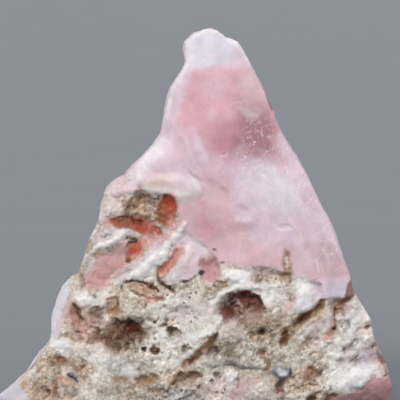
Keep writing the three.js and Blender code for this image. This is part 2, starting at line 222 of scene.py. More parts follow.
# The pigments: an sRGB colour from 0 to 255, and how crumbly its surface is from 0 to 1.
PIGMENTS = {
    "pale": ((226, 207, 218), 0.06),
    "petal": ((221, 186, 191), 0.03),
    "salmon": ((231, 181, 190), 0.02),
    "pink": ((206, 147, 160), 0.03),
    "mauve": ((180, 127, 135), 0.08),
    "haze": ((194, 172, 179), 0.04),
    "lavender": ((212, 206, 217), 0.05),
    "dusky": ((140, 96, 97), 0.05),
    "rose": ((212, 166, 165), 0.15),
    "coral": ((212, 148, 132), 0.12),
    "blush": ((216, 199, 196), 0.4),
    "milk": ((235, 232, 229), 0.16),
    "white": ((232, 225, 216), 0.45),
    "cream": ((224, 209, 203), 0.08),
    "buff": ((204, 188, 172), 0.1),
    "ivory": ((212, 200, 182), 0.9),
    "peach": ((212, 176, 150), 0.9),
    "sand": ((170, 154, 135), 1),
    "tan": ((186, 152, 121), 1),
    "ochre": ((146, 106, 64), 0.4),
    "rust": ((156, 98, 72), 0.6),
    "amber": ((158, 76, 48), 0.06),
    "ember": ((190, 78, 46), 0.04),
    "garnet": ((124, 50, 36), 1),
    "brown": ((106, 72, 48), 1),
    "dark": ((46, 33, 29), 0.4),
    "grey": ((168, 164, 162), 0.9),
    "slate": ((120, 128, 140), 0.3),
}

# Other colours, and the surface of waxy opal and of matrix.
GAP_COLOUR = (112, 82, 60)
PORE_COLOUR = (66, 50, 40)
# The white of the painted glints, small highlights on the surface.
GLINT_COLOUR = (246, 240, 238)
FLOOR_COLOUR = (129, 132, 137)
WORLD_COLOUR = (196, 198, 202)
OPAL_ROUGHNESS = 0.36
MATRIX_ROUGHNESS = 0.75
SCATTER_RADIUS = (1.0, 0.7, 0.65)
SCATTER_SCALE = 1.6
BUMP_HEIGHT = 0.4

# The lights: the azimuth, 0 in front of the face and rising to the right, the elevation, the softness and the
# strength.
LIGHTS = {
    "key": (-36, 40, 36, 1.75),
    "fill": (50, 20, 50, 0.7),
    "back": (160, 40, 30, 0.6),
}
FLOOR_SIZE = 60  # metres


# Noise. x, y and z are arrays or numbers in millimetres. On the face, y is a whole number that only says which
# of many unlike layers of noise is meant.
def lattice_value(i, j, k):
    """A repeatable number between 0 and 1 for a point of a whole-number lattice."""
    s = np.sin(i * 127.1 + j * 311.7 + k * 74.7) * 43758.5453
    return s - np.floor(s)


def lumps(x, y, z, size):
    """Smooth noise between -0.5 and 0.5, in lumps of about the given size."""
    cell = [np.floor(np.asarray(v) / size) for v in (x, y, z)]
    ease = [smooth_step(0, 1, np.asarray(v) / size - c) for v, c in zip((x, y, z), cell)]
    total = 0
    for corner in range(8):
        step = (corner & 1, corner >> 1 & 1, corner >> 2 & 1)
        weight = 1
        for s, e in zip(step, ease):
            weight = weight * (e if s else 1 - e)
        total = total + weight * lattice_value(*(c + s for c, s in zip(cell, step)))
    return total - 0.5


def heights(x, y, z, roughness):
    """Lumps of a roughness that is given as height and size."""
    height, size = roughness
    return height * lumps(x, y, z, size)


def scoops(x, y, z, size):
    """Bowls side by side with sharp ridges between them: 0 in the middle of a bowl, about 0.5 on a ridge.

    A y that is one number gives flat bowls, and an array gives round ones.
    """
    cell = [np.floor(np.asarray(v) / size) for v in (x, y, z)]
    depths = (-1, 0, 1) if np.ndim(y) else (0,)
    nearest = 9.0
    for a in (-1, 0, 1):
        for b in depths:
            for c in (-1, 0, 1):
                i, j, k = cell[0] + a, cell[1] + b, cell[2] + c
                gap = (x / size - i - lattice_value(i, j, k)) ** 2
                gap = gap + (z / size - k - lattice_value(i + 17, j, k)) ** 2
                if np.ndim(y):
                    gap = gap + (y / size - j - lattice_value(i, j + 17, k)) ** 2
                nearest = np.minimum(nearest, gap)
    return nearest


def smooth_step(low, high, value):
    """0 up to low, 1 from high on, and a soft rise between them."""
    t = np.clip((value - low) / (high - low), 0, 1)
    return t * t * (3 - 2 * t)


# Distances on the face.
def reach(x, z, at, half, turn):
    """How far a point is from the middle of an ellipse: 1 on its rim."""
    angle = math.radians(turn)
    lengthwise = (x - at[0]) * math.cos(angle) + (z - at[1]) * math.sin(angle)
    across = (z - at[1]) * math.cos(angle) - (x - at[0]) * math.sin(angle)
    return np.hypot(lengthwise / half[0], across / half[1]) * (1 + WAVER / 2 * lumps(x, 72, z, 2.2))


def from_line(x, z, line):
    """Distance to a line of straight stretches, and how far along it the nearest point is, from 0 to 1."""
    nearest, share, passed = np.inf, 0, 0
    for (ax, az), (bx, bz) in zip(line, line[1:]):
        length = math.hypot(bx - ax, bz - az)
        t = np.clip(((x - ax) * (bx - ax) + (z - az) * (bz - az)) / length ** 2, 0, 1)
        gap = np.hypot(x - ax - t * (bx - ax), z - az - t * (bz - az))
        share = np.where(gap < nearest, passed + t * length, share)
        nearest = np.minimum(nearest, gap)
        passed += length
    return nearest, share / passed


def beside(x, z, line, half):
    """How far a point is from a line that fades towards its ends: 1 at the edge of the line's width."""
    gap, share = from_line(x, z, line)
    return gap / half * (1 + WAVER * lumps(x, 71, z, 2.6)) + LINE_TAPER * (2 * share - 1) ** 6


def outside_outline(x, z):
    """Distance to the outline, above zero outside it."""
    outline = RIGHT_EDGE + LEFT_EDGE + RIGHT_EDGE[:1]
    inside = np.zeros(np.shape(x), bool)
    for (ax, az), (bx, bz) in zip(outline, outline[1:]):
        if az == bz:
            continue
        inside ^= ((az > z) != (bz > z)) & (x < (bx - ax) * (z - az) / (bz - az) + ax)
    edge, _ = from_line(x, z, outline)
    return np.where(inside, -edge, edge)


def above_limit(x, z):
    """How far a point of the face lies above the limit of the smooth opal."""
    return z - np.interp(x, *zip(*OPAL_LIMIT))


def wandering(x, z):
    """The point to look features up at: moved about, most of all in matrix, so that their edges are uneven."""
    amount = 0.35 + 0.65 * smooth_step(-3, 1, -above_limit(x, z))
    moved_x = sum(far * lumps(x, 21 + n, z, size) for n, (far, size) in enumerate(WANDER))
    moved_z = sum(far * lumps(x, 31 + n, z, size) for n, (far, size) in enumerate(WANDER))
    return x + amount * moved_x, z + amount * moved_z


def matrix_share(x, z):
    """How much of a point of the face is weathered matrix, from 0 to 1."""
    return 1 - smooth_step(-LIMIT_SOFTNESS, LIMIT_SOFTNESS, above_limit(x, z))


def relief_at(x, z):
    """The small relief of the matrix: above zero in its hollows, below zero on its crests."""
    relief = heights(x, 9, z, MATRIX_LUMPS) + heights(x, 13, z, MATRIX_GRIT)
    bowls = scoops(x, 40, z, MATRIX_BOWLS[1])
    relief = relief - MATRIX_BOWLS[0] * (bowls - MEAN_SCOOP)
    crumbs = scoops((x + z) / 2, 41, (z - x) / 1.2, MATRIX_CRUMBS[1])
    relief = relief + MATRIX_CRUMBS[0] * (crumbs - MEAN_SCOOP)
    streaks = lumps((x + z) / 4, 63, (z - x) / 1.4, MATRIX_STREAKS[1] / 1.4)
    relief = relief + MATRIX_STREAKS[0] * streaks * smooth_step(*STREAKS_START, x)
    creases = np.abs(lumps(x, 61, z, MATRIX_CREASES[1]) + 0.45 * lumps(x, 62, z, MATRIX_CREASES[1] / 2.6))
    return relief + MATRIX_CREASES[0] * (MEAN_CREASE - creases)


def roughness_at(x, z):
    """How rough the matrix is: it has smooth patches and crumbly ones."""
    return 0.35 + 0.85 * smooth_step(-0.25, 0.25, lumps(x, 64, z, 8) + 0.5 * lumps(x, 65, z, 3))


def face_at(x, z):
    """The y of the front face."""
    wx, wz = wandering(x, z)
    matrix = matrix_share(wx, wz)
    crumbly = crumbliness(face_pigments(x, z))
    y = -BASE_DEPTH / 2 + FRONT_LEAN * z + LIMIT_LEDGE * matrix
    y = y + heights(x, 0, z, OPAL_SWELL) + heights(x, 2, z, OPAL_RIPPLE)
    y = y + matrix * MATRIX_SWELL[0] * lumps(x, 5, z, MATRIX_SWELL[1])
    for start, end, slope, rounding in BEVELS.values():
        length = math.dist(start, end)
        dx, dz = (end[0] - start[0]) / length, (end[1] - start[1]) / length
        side = dx * (z - start[1]) - dz * (x - start[0])
        along = dx * (x - start[0]) + dz * (z - start[1])
        past = np.maximum(-along, along - length)
        rise = (side + np.hypot(side, rounding)) / 2
        y = y + slope * rise * (1 - smooth_step(0, BEVEL_FADE, past))
    sunk = 0
    for at, half, turn, depth in HOLLOWS.values():
        sunk = sunk + depth * (1 - smooth_step(*HOLLOW_EDGE, reach(wx, wz, at, half, turn)))
    for line, half, depth in SEAMS.values():
        sunk = sunk + depth * (1 - smooth_step(*SEAM_EDGE, beside(wx, wz, line, half)))
    rough = matrix * (0.1 + 0.9 * crumbly) * (roughness_at(x, z) + HOLLOW_ROUGHNESS * np.clip(sunk, 0, 4))
    return y + sunk + rough * relief_at(wx, wz)


def flank_at(x, y, z, edge):
    """How far a point lies outside the flanks, the back and the base."""
    rough = heights(x, y, z, FLANK_LUMPS) + heights(x, y, z, FLANK_GRIT)
    outside = np.maximum(edge + rough, -z)
    swell = heights(x, y, z, FRACTURE_LUMPS) + heights(x, y, z, FRACTURE_RIPPLE)
    for through, facing, radius in FRACTURES.values():
        length = math.hypot(*facing)
        centre = [p + radius * f / length for p, f in zip(through, facing)]
        away = np.sqrt((x - centre[0]) ** 2 + (y - centre[1]) ** 2 + (z - centre[2]) ** 2)
        outside = np.maximum(outside, radius + swell - away)
    return outside


# The stone's mesh.
CORNERS = [(a, b, c) for a in (0, 1) for b in (0, 1) for c in (0, 1)]


def at_corner(grid, corner):
    """The values that a grid has at one corner of each of its cells."""
    return grid[tuple(slice(c, c + n - 1) for c, n in zip(corner, grid.shape))]


def surface_net(values, origin, step):
    """Vertices and four-sided faces of the surface where a grid of values crosses zero, from below inside."""
    inside = values < 0
    filled = sum(at_corner(inside, corner).astype(np.int8) for corner in CORNERS)
    crossed = (filled > 0) & (filled < 8)
    at = np.argwhere(crossed)
    number = np.full(crossed.shape, -1)
    number[crossed] = np.arange(len(at))
    total = np.zeros((len(at), 3))
    count = np.zeros(len(at))
    for a in CORNERS:
        for axis in range(3):
            if a[axis]:
                continue
            b = tuple(1 if n == axis else a[n] for n in range(3))
            low = values[tuple((at + a).T)]
            high = values[tuple((at + b).T)]
            crossing = (low < 0) != (high < 0)
            share = np.where(crossing, low / np.where(low == high, 1, low - high), 0)
            point = np.array(a, float) + share[:, None] * (np.array(b) - np.array(a))
            total += point * crossing[:, None]
            count += crossing
    vertices = np.array(origin) + (at + total / count[:, None]) * np.array(step)

    quads = []
    for axis in range(3):
        second, third = (axis + 1) % 3, (axis + 2) % 3
        low = np.take(inside, range(inside.shape[axis] - 1), axis)
        high = np.take(inside, range(1, inside.shape[axis]), axis)
        edges = np.argwhere(low != high)
        edges = edges[(edges[:, second] > 0) & (edges[:, third] > 0)]
        outward = low[tuple(edges.T)]
        ring = []
        for back in ((1, 1), (0, 1), (0, 0), (1, 0)):
            cell = edges.copy()
            cell[:, second] -= back[0]
            cell[:, third] -= back[1]
            ring.append(number[tuple(cell.T)])
        ring = np.stack(ring, 1)
        quads.append(np.where(outward[:, None], ring, ring[:, ::-1]))
    return vertices, np.concatenate(quads)


def hangs_together(corners):
    """Whether a set of a cell's corners, numbered by their bits, is joined by the cell's edges."""
    seen, todo = set(), list(corners)[:1]
    while todo:
        corner = todo.pop()
        seen.add(corner)
        todo += [corner ^ bit for bit in (1, 2, 4) if corner ^ bit in corners and corner ^ bit not in seen]
    return seen == set(corners)


def part_sheets(values):
    """Empties each cell that two sheets of the surface would share, so that none holds more than one."""
    tangled = np.zeros(256, bool)
    for code in range(256):
        filled = {n for n in range(8) if code >> n & 1}
        tangled[code] = not (hangs_together(filled) and hangs_together(set(range(8)) - filled))
    just_outside = 0.02
    found = True
    while found:
        inside = (values < 0).astype(np.uint8)
        code = sum(at_corner(inside, corner) << bit for bit, corner in enumerate(CORNERS))
        at = np.argwhere(tangled[code])
        found = len(at) > 0
        for corner in CORNERS:
            place = tuple((at + corner).T)
            values[place] = np.maximum(values[place], just_outside)


def stone_surface():
    """Vertices in millimetres and faces of the stone."""
    margin = 1.5
    room_in_front, room_behind = 2, 3
    low = np.array((-HALF_WIDTH, -BASE_DEPTH / 2 - room_in_front, 0)) - margin
    high = np.array((HALF_WIDTH, BASE_DEPTH / 2 + room_behind, HEIGHT)) + margin
    xs, ys, zs = (np.arange(a, b, step) for a, b, step in zip(low, high, GRID_STEP))
    x, z = np.meshgrid(xs, zs, indexing="ij")
    edge = outside_outline(x, z)
    face = face_at(x.ravel(), z.ravel()).reshape(x.shape)
    values = np.empty((len(xs), len(ys), len(zs)), np.float32)
    for n, y in enumerate(ys):
        values[:, n, :] = np.maximum(face - y, flank_at(x, y, z, edge))
    part_sheets(values)
    vertices, faces = surface_net(values, (xs[0], ys[0], zs[0]), GRID_STEP)
    return settle(vertices), faces


def settle(vertices):
    """Moves the vertices onto the exact surface: those of the face along y, the others straight to it."""
    probe, least_slope, most_moved = 0.05, 0.3, 0.4
    for _ in range(2):
        x, y, z = vertices.T
        face = face_at(x, z)
        away = flank_at(x, y, z, outside_outline(x, z))
        on_face = face - y > away
        vertices[on_face, 1] = face[on_face]
        x, y, z = vertices[~on_face].T
        away = away[~on_face]
        slope = np.stack([
            flank_at(x + dx, y + dy, z + dz, outside_outline(x + dx, z + dz)) - away
            for dx, dy, dz in np.eye(3) * probe
        ], 1) / probe
        length = np.maximum(least_slope, (slope ** 2).sum(1))
        vertices[~on_face] -= slope * (away / length).clip(-most_moved, most_moved)[:, None]
    vertices[:, 2] = vertices[:, 2].clip(0, None)
    return vertices


# Where each pigment lies; a few spots and strokes are painted shade or painted highlights, as marked below.
# Later spots, strokes and patches lie over earlier ones. Each has a strength from 0 to 1. Its edge fades from
# soft inside the rim to soft outside it, as a share of the half size.
def spot(pigment, at, half, turn, strength, soft):
    return pigment, strength, soft, [at], max(half), lambda x, z: reach(x, z, at, half, turn)


def stroke(pigment, line, half, strength, soft):
    return pigment, strength, soft, line, half, lambda x, z: beside(x, z, line, half)


def patch(pigment, corners, strength, soft):
    """A convex patch. Its corners run clockwise, and its edge fades from soft millimetres before to behind."""
    def outside(x, z):
        far = -np.inf
        for (ax, az), (bx, bz) in zip(corners, corners[1:] + corners[:1]):
            side = (x - ax) * (az - bz) + (z - az) * (bx - ax)
            far = np.maximum(far, side / math.dist((ax, az), (bx, bz)))
        return 1 + far
    return pigment, strength, soft, corners, 1, outside


def near(points, room, x, z):
    """The numbers of the points that lie within a distance of the box round some points."""
    xs, zs = zip(*points)
    inside = (x > min(xs) - room) & (x < max(xs) + room) & (z > min(zs) - room) & (z < max(zs) + room)
    return np.nonzero(inside)[0]


SMOOTH_OPAL = [
    spot("salmon", (3, 79), (8.4, 10.4), -12, 0.95, 0.45),
    spot("salmon", (10, 80), (5, 6), 0, 0.5, 0.8),
    spot("pink", (7.6, 66.8), (6.6, 7), -30, 0.95, 0.6),
    spot("pink", (9, 64), (6, 4), -20, 0.7, 0.6),
    # The right part of the upper opal: mauve with faint dusky spots, its darker colour and partly painted shade
    # where it faces right and down.
    spot("mauve", (16.4, 71), (5.4, 8), 20, 0.95, 0.5),
    spot("mauve", (16, 64), (3.6, 2.6), -10, 0.6, 0.7),
    spot("mauve", (14, 66.4), (5, 3.6), -30, 0.8, 0.5),
    spot("dusky", (17.6, 70), (2.4, 3.4), 20, 0.22, 0.8),
    spot("dusky", (15.6, 64.6), (1.6, 1.2), 20, 0.2, 0.8),
    stroke("petal", [(19.6, 69.6), (21.4, 66.4)], 1, 0.4, 0.8),
    spot("petal", (14.6, 80.4), (1.6, 5), 24, 0.4, 0.8),
    spot("cream", (14, 75.4), (2, 0.6), -8, 0.45, 0.5),
    spot("cream", (12.6, 76.6), (1.4, 0.4), -8, 0.45, 0.5),
    patch("pale", [(-4, 86), (-4, 98), (18, 98), (18, 87), (8.5, 87), (2, 86.4)], 0.9, 1.2),
    patch("lavender", [(-4, 87), (-4, 98), (11, 98), (11, 91), (9, 88.2), (1, 87)], 0.95, 0.9),
    patch("haze", [(10, 93), (15, 93), (16, 84), (12, 86.6), (9, 89)], 0.3, 1.2),
    # A thin white rim along the tip's outline: partly its own white, partly a painted highlight on small
    # facets.
    stroke("milk", [(-2.6, 92.4), (-0.6, 94.6), (3, 96), (6, 95.4)], 0.5, 0.7, 0.6),
    stroke("milk", [(8.4, 93.6), (11.2, 92.8), (12.8, 90.4), (14.4, 87.4)], 0.5, 0.7, 0.6),
    stroke("haze", [(-2.4, 92), (-1.6, 89.4), (-2.4, 87)], 0.8, 0.5, 0.7),
    spot("haze", (1.6, 91.4), (1.6, 2.4), 30, 0.2, 0.8),
    stroke("pale", [(-0.4, 88.4), (-2.6, 84.6), (-4.4, 80), (-5.4, 76), (-6.2, 72), (-7.8, 68)],
           2, 0.8, 0.4),
    stroke("milk", [(-2.2, 87.4), (-4, 84), (-5.8, 80), (-6.6, 75.4), (-7.4, 71)], 0.7, 0.6, 0.7),
    spot("pale", (-2.6, 64.4), (6.4, 6), -50, 0.75, 0.55),
    spot("salmon", (-4, 65.6), (2.6, 3.8), -35, 0.35, 0.8),
    stroke("petal", [(-1, 72), (0.2, 67.6), (2.2, 62.6), (4.4, 59.4)], 1.2, 0.6, 0.8),
    stroke("pale", [(0.6, 70.4), (1.6, 66), (3.6, 61.6), (6.4, 58.4)], 1.1, 0.75, 0.6),
    stroke("pink", [(-3.2, 69.6), (-1, 65), (1, 61.4)], 0.5, 0.3, 0.9),
    stroke("pale", [(-0.6, 71.6), (0.8, 71.8)], 0.5, 0.5, 0.7),
    stroke("milk", [(-2.6, 70), (-0.8, 65.4), (1.6, 61)], 0.8, 0.2, 0.9),
    spot("petal", (6, 59.6), (3.6, 3.4), -40, 0.6, 0.7),
    spot("pale", (19, 56.5), (11, 7.4), -28, 0.9, 0.4),
    spot("milk", (21, 55), (7, 5), -40, 0.4, 0.8),
    spot("lavender", (24.4, 54), (4, 4.6), -10, 0.2, 0.8),
    # Milk flecks towards the right edge: partly white opal and partly painted highlight.
    spot("milk", (18.6, 61), (2.4, 1.1), 24, 0.5, 0.5),
    spot("milk", (21.6, 58.6), (2, 1), -44, 0.4, 0.5),
    spot("milk", (25.6, 55.4), (1.2, 3), 30, 0.4, 0.5),
    spot("milk", (28.4, 50), (1, 2.6), 24, 0.4, 0.5),
    spot("petal", (22.6, 61.4), (1.4, 1.8), 30, 0.5, 0.6),
    spot("petal", (27.8, 53.6), (1, 2), 24, 0.5, 0.6),
    stroke("petal", [(2, 60), (5.2, 56.8), (9, 53.6)], 1.5, 0.6, 0.8),
    spot("pale", (12.4, 50.6), (3.2, 2), -35, 0.6, 0.4),
    spot("pink", (3.4, 49.6), (3, 4), 10, 0.5, 0.7),
    spot("pink", (5, 45.4), (3.4, 3.6), 40, 0.5, 0.7),
    spot("petal", (13.4, 42.4), (8.5, 4.6), 8, 0.8, 0.6),
    spot("pink", (11, 40.4), (4.6, 1.8), -8, 0.25, 0.8),
    spot("pale", (20.4, 45.6), (5.6, 3.4), -20, 0.75, 0.6),
    spot("petal", (24.6, 42.2), (4, 3.6), 20, 0.5, 0.7),
    spot("petal", (29, 43), (4, 6), 20, 0.5, 0.7),
    stroke("pale", [(21, 51), (24, 46), (28, 41)], 1.3, 0.55, 0.8),
    stroke("pale", [(27, 53), (29.6, 47.4), (31, 42)], 2.2, 0.7, 0.8),
    stroke("milk", [(24, 49.6), (26.6, 46), (27.6, 43)], 0.3, 0.4, 0.8),
    stroke("milk", [(20, 48), (22, 46.4)], 0.25, 0.4, 0.8),
    spot("haze", (30, 38.4), (4.6, 4.4), 20, 0.2, 0.7),
    spot("pale", (27, 39), (3, 2.6), 10, 0.4, 0.8),
    spot("mauve", (35, 38.4), (3.4, 5), 22, 0.35, 0.8),
    spot("haze", (34.4, 41), (3.4, 4), 22, 0.6, 0.7),
    spot("tan", (34.2, 40.6), (1.6, 2.6), 10, 0.18, 0.8),
    patch("pale", [(32.6, 29), (33, 34.4), (39.6, 35.4), (38.6, 29.2)], 0.7, 0.9),
    patch("grey", [(33.4, 29), (34, 33.4), (39.4, 34), (38.6, 29.2)], 0.12, 0.7),
    patch("lavender", [(33.4, 28.8), (34, 33.4), (39, 34), (38.2, 29)], 0.7, 0.5),
    stroke("haze", [(33.6, 30), (35, 35.6), (38.6, 36)], 0.9, 0.4, 0.8),
    # A pale band along the right edge: partly its own pale colour and partly a painted highlight.
    stroke("pale", [(21.6, 70), (25.4, 63.5), (29, 57.5), (33, 49.4), (36.6, 41)], 1.4, 0.5, 0.6),
    spot("pale", (32.4, 48.6), (2.2, 4), 24, 0.6, 0.7),
    # The left shoulder's bevel: partly its own white and pale colour, partly a painted highlight along its
    # edge.
    stroke("pale", [(-5, 71), (-9.4, 66.6), (-12.4, 63.1), (-16, 57.8)], 2.6, 0.8, 0.6),
    stroke("milk", [(-7, 69), (-9.4, 66.6), (-12.4, 63.1), (-15.6, 58.2)], 1.5, 0.6, 0.6),
    stroke("blush", [(-14.6, 61.8), (-20, 57), (-23, 51)], 1.9, 0.7, 0.4),
    patch("cream", [(-13.4, 54), (-12.6, 58.6), (-9, 60), (-2, 60.4), (2, 58), (2.4, 56), (0, 52.6)],
          0.75, 1),
    stroke("milk", [(-11, 56.6), (-6, 55.8), (-1, 55.6)], 1, 0.6, 0.7),
    stroke("pale", [(-4, 58), (-0.6, 58.6), (1, 56.6)], 1.8, 0.7, 0.6),
    stroke("buff", [(-13, 58.2), (-9.6, 58.6), (-6, 58)], 1, 0.45, 0.8),
    # Painted shade: a thin pinkish line along the right end of the lip, where it steps down.
    stroke("petal", [(-0.6, 60.6), (1.6, 58.8), (2.8, 56.2), (2.2, 53.8)], 0.42, 0.75, 0.7),
    stroke("milk", [(-0.4, 59.4), (0.8, 58), (1.8, 56.4)], 0.5, 0.5, 0.7),
    stroke("coral", [(2.6, 54), (2.2, 50)], 0.6, 0.3, 0.9),
    stroke("milk", [(30.6, 39.6), (31.6, 36)], 0.25, 0.6, 0.8),
    stroke("milk", [(31.8, 38.4), (32.6, 35.6)], 0.2, 0.5, 0.8),
    stroke("pale", [(33.4, 46), (33, 42), (34, 38)], 0.4, 0.4, 0.8),
    # Painted shade: a dusky sliver along the right edge, where a facet behind it lies in shade.
    stroke("dusky", [(17.5, 82.6), (18.9, 79.6), (19.9, 76.2)], 0.42, 0.9, 0.5),
]

MATRIX_ZONES = [
    spot("pale", (-1, 44), (6, 9), -20, 0.95, 0.35),
    spot("blush", (-21, 51), (5, 7.5), 20, 0.9, 0.4),
    spot("white", (-21.6, 45.4), (2.6, 4.4), -30, 0.6, 0.6),
    spot("white", (-10, 39.6), (7, 3.4), 48, 0.8, 0.4),
    spot("white", (-4, 21.8), (5, 2.6), 0, 0.6, 0.5),
    spot("blush", (-4.6, 27.4), (5, 2.6), 0, 0.7, 0.5),
    spot("white", (-9.6, 19), (3, 4), 0, 0.5, 0.6),
    spot("white", (30.6, 31.6), (3.6, 2.8), 0, 0.9, 0.4),
    spot("white", (38, 11), (6, 3.4), 25, 0.7, 0.5),
    spot("white", (-20, 14), (5, 2), -20, 0.5, 0.6),
    spot("peach", (-37, 8), (7, 9), -50, 0.6, 0.5),
    spot("tan", (-33, 8), (5, 5), 0, 0.5, 0.6),
    spot("tan", (-26, 22), (8, 8), 20, 0.5, 0.5),
    spot("sand", (14.5, 18), (9, 7.5), -10, 0.95, 0.35),
    spot("sand", (23, 16), (6, 5), 30, 0.7, 0.5),
    spot("white", (-3, 23.5), (10, 7), 10, 0.7, 0.5),
    spot("white", (-6, 15), (7, 5), 20, 0.4, 0.5),
    spot("grey", (-15, 12), (5, 2.4), -20, 0.3, 0.7),
    spot("pale", (40.4, 18), (5.5, 12), 20, 0.55, 0.5),
    spot("white", (40, 16), (4, 9), 20, 0.5, 0.6),
    spot("haze", (45.5, 12.6), (2.6, 7), 15, 0.5, 0.6),
    spot("grey", (-4, 4.5), (9, 3), 0, 0.85, 0.4),
    spot("tan", (8, 6), (7, 3), 0, 0.4, 0.6),
    spot("blush", (7, 6.6), (5, 3), 0, 0.7, 0.6),
    spot("mauve", (13.2, 7.2), (3.6, 1.5), 25, 0.6, 0.5),
    spot("mauve", (6.6, 7.8), (2.2, 1.6), 0, 0.4, 0.6),
    spot("mauve", (9, 4.4), (3, 0.8), 30, 0.4, 0.7),
    spot("blush", (16, 6), (6, 3), 0, 0.5, 0.6),
    spot("ivory", (31, 17), (6, 6), 40, 0.5, 0.6),
    spot("tan", (28.4, 9), (4, 5), -10, 0.6, 0.6),
    spot("blush", (30.6, 19.4), (3.6, 3), 40, 0.7, 0.5),
    spot("white", (34, 9), (4, 3), 30, 0.6, 0.6),
    spot("pale", (33.4, 22.4), (1.6, 4), -20, 0.5, 0.6),
    spot("white", (26, 13), (2, 3), -20, 0.4, 0.6),
    spot("tan", (-16, 7), (8, 3), 0, 0.5, 0.6),
    spot("ivory", (-17, 4), (6, 2.4), 0, 0.5, 0.6),
    spot("sand", (-12, 6), (5, 3), 10, 0.5, 0.6),
]

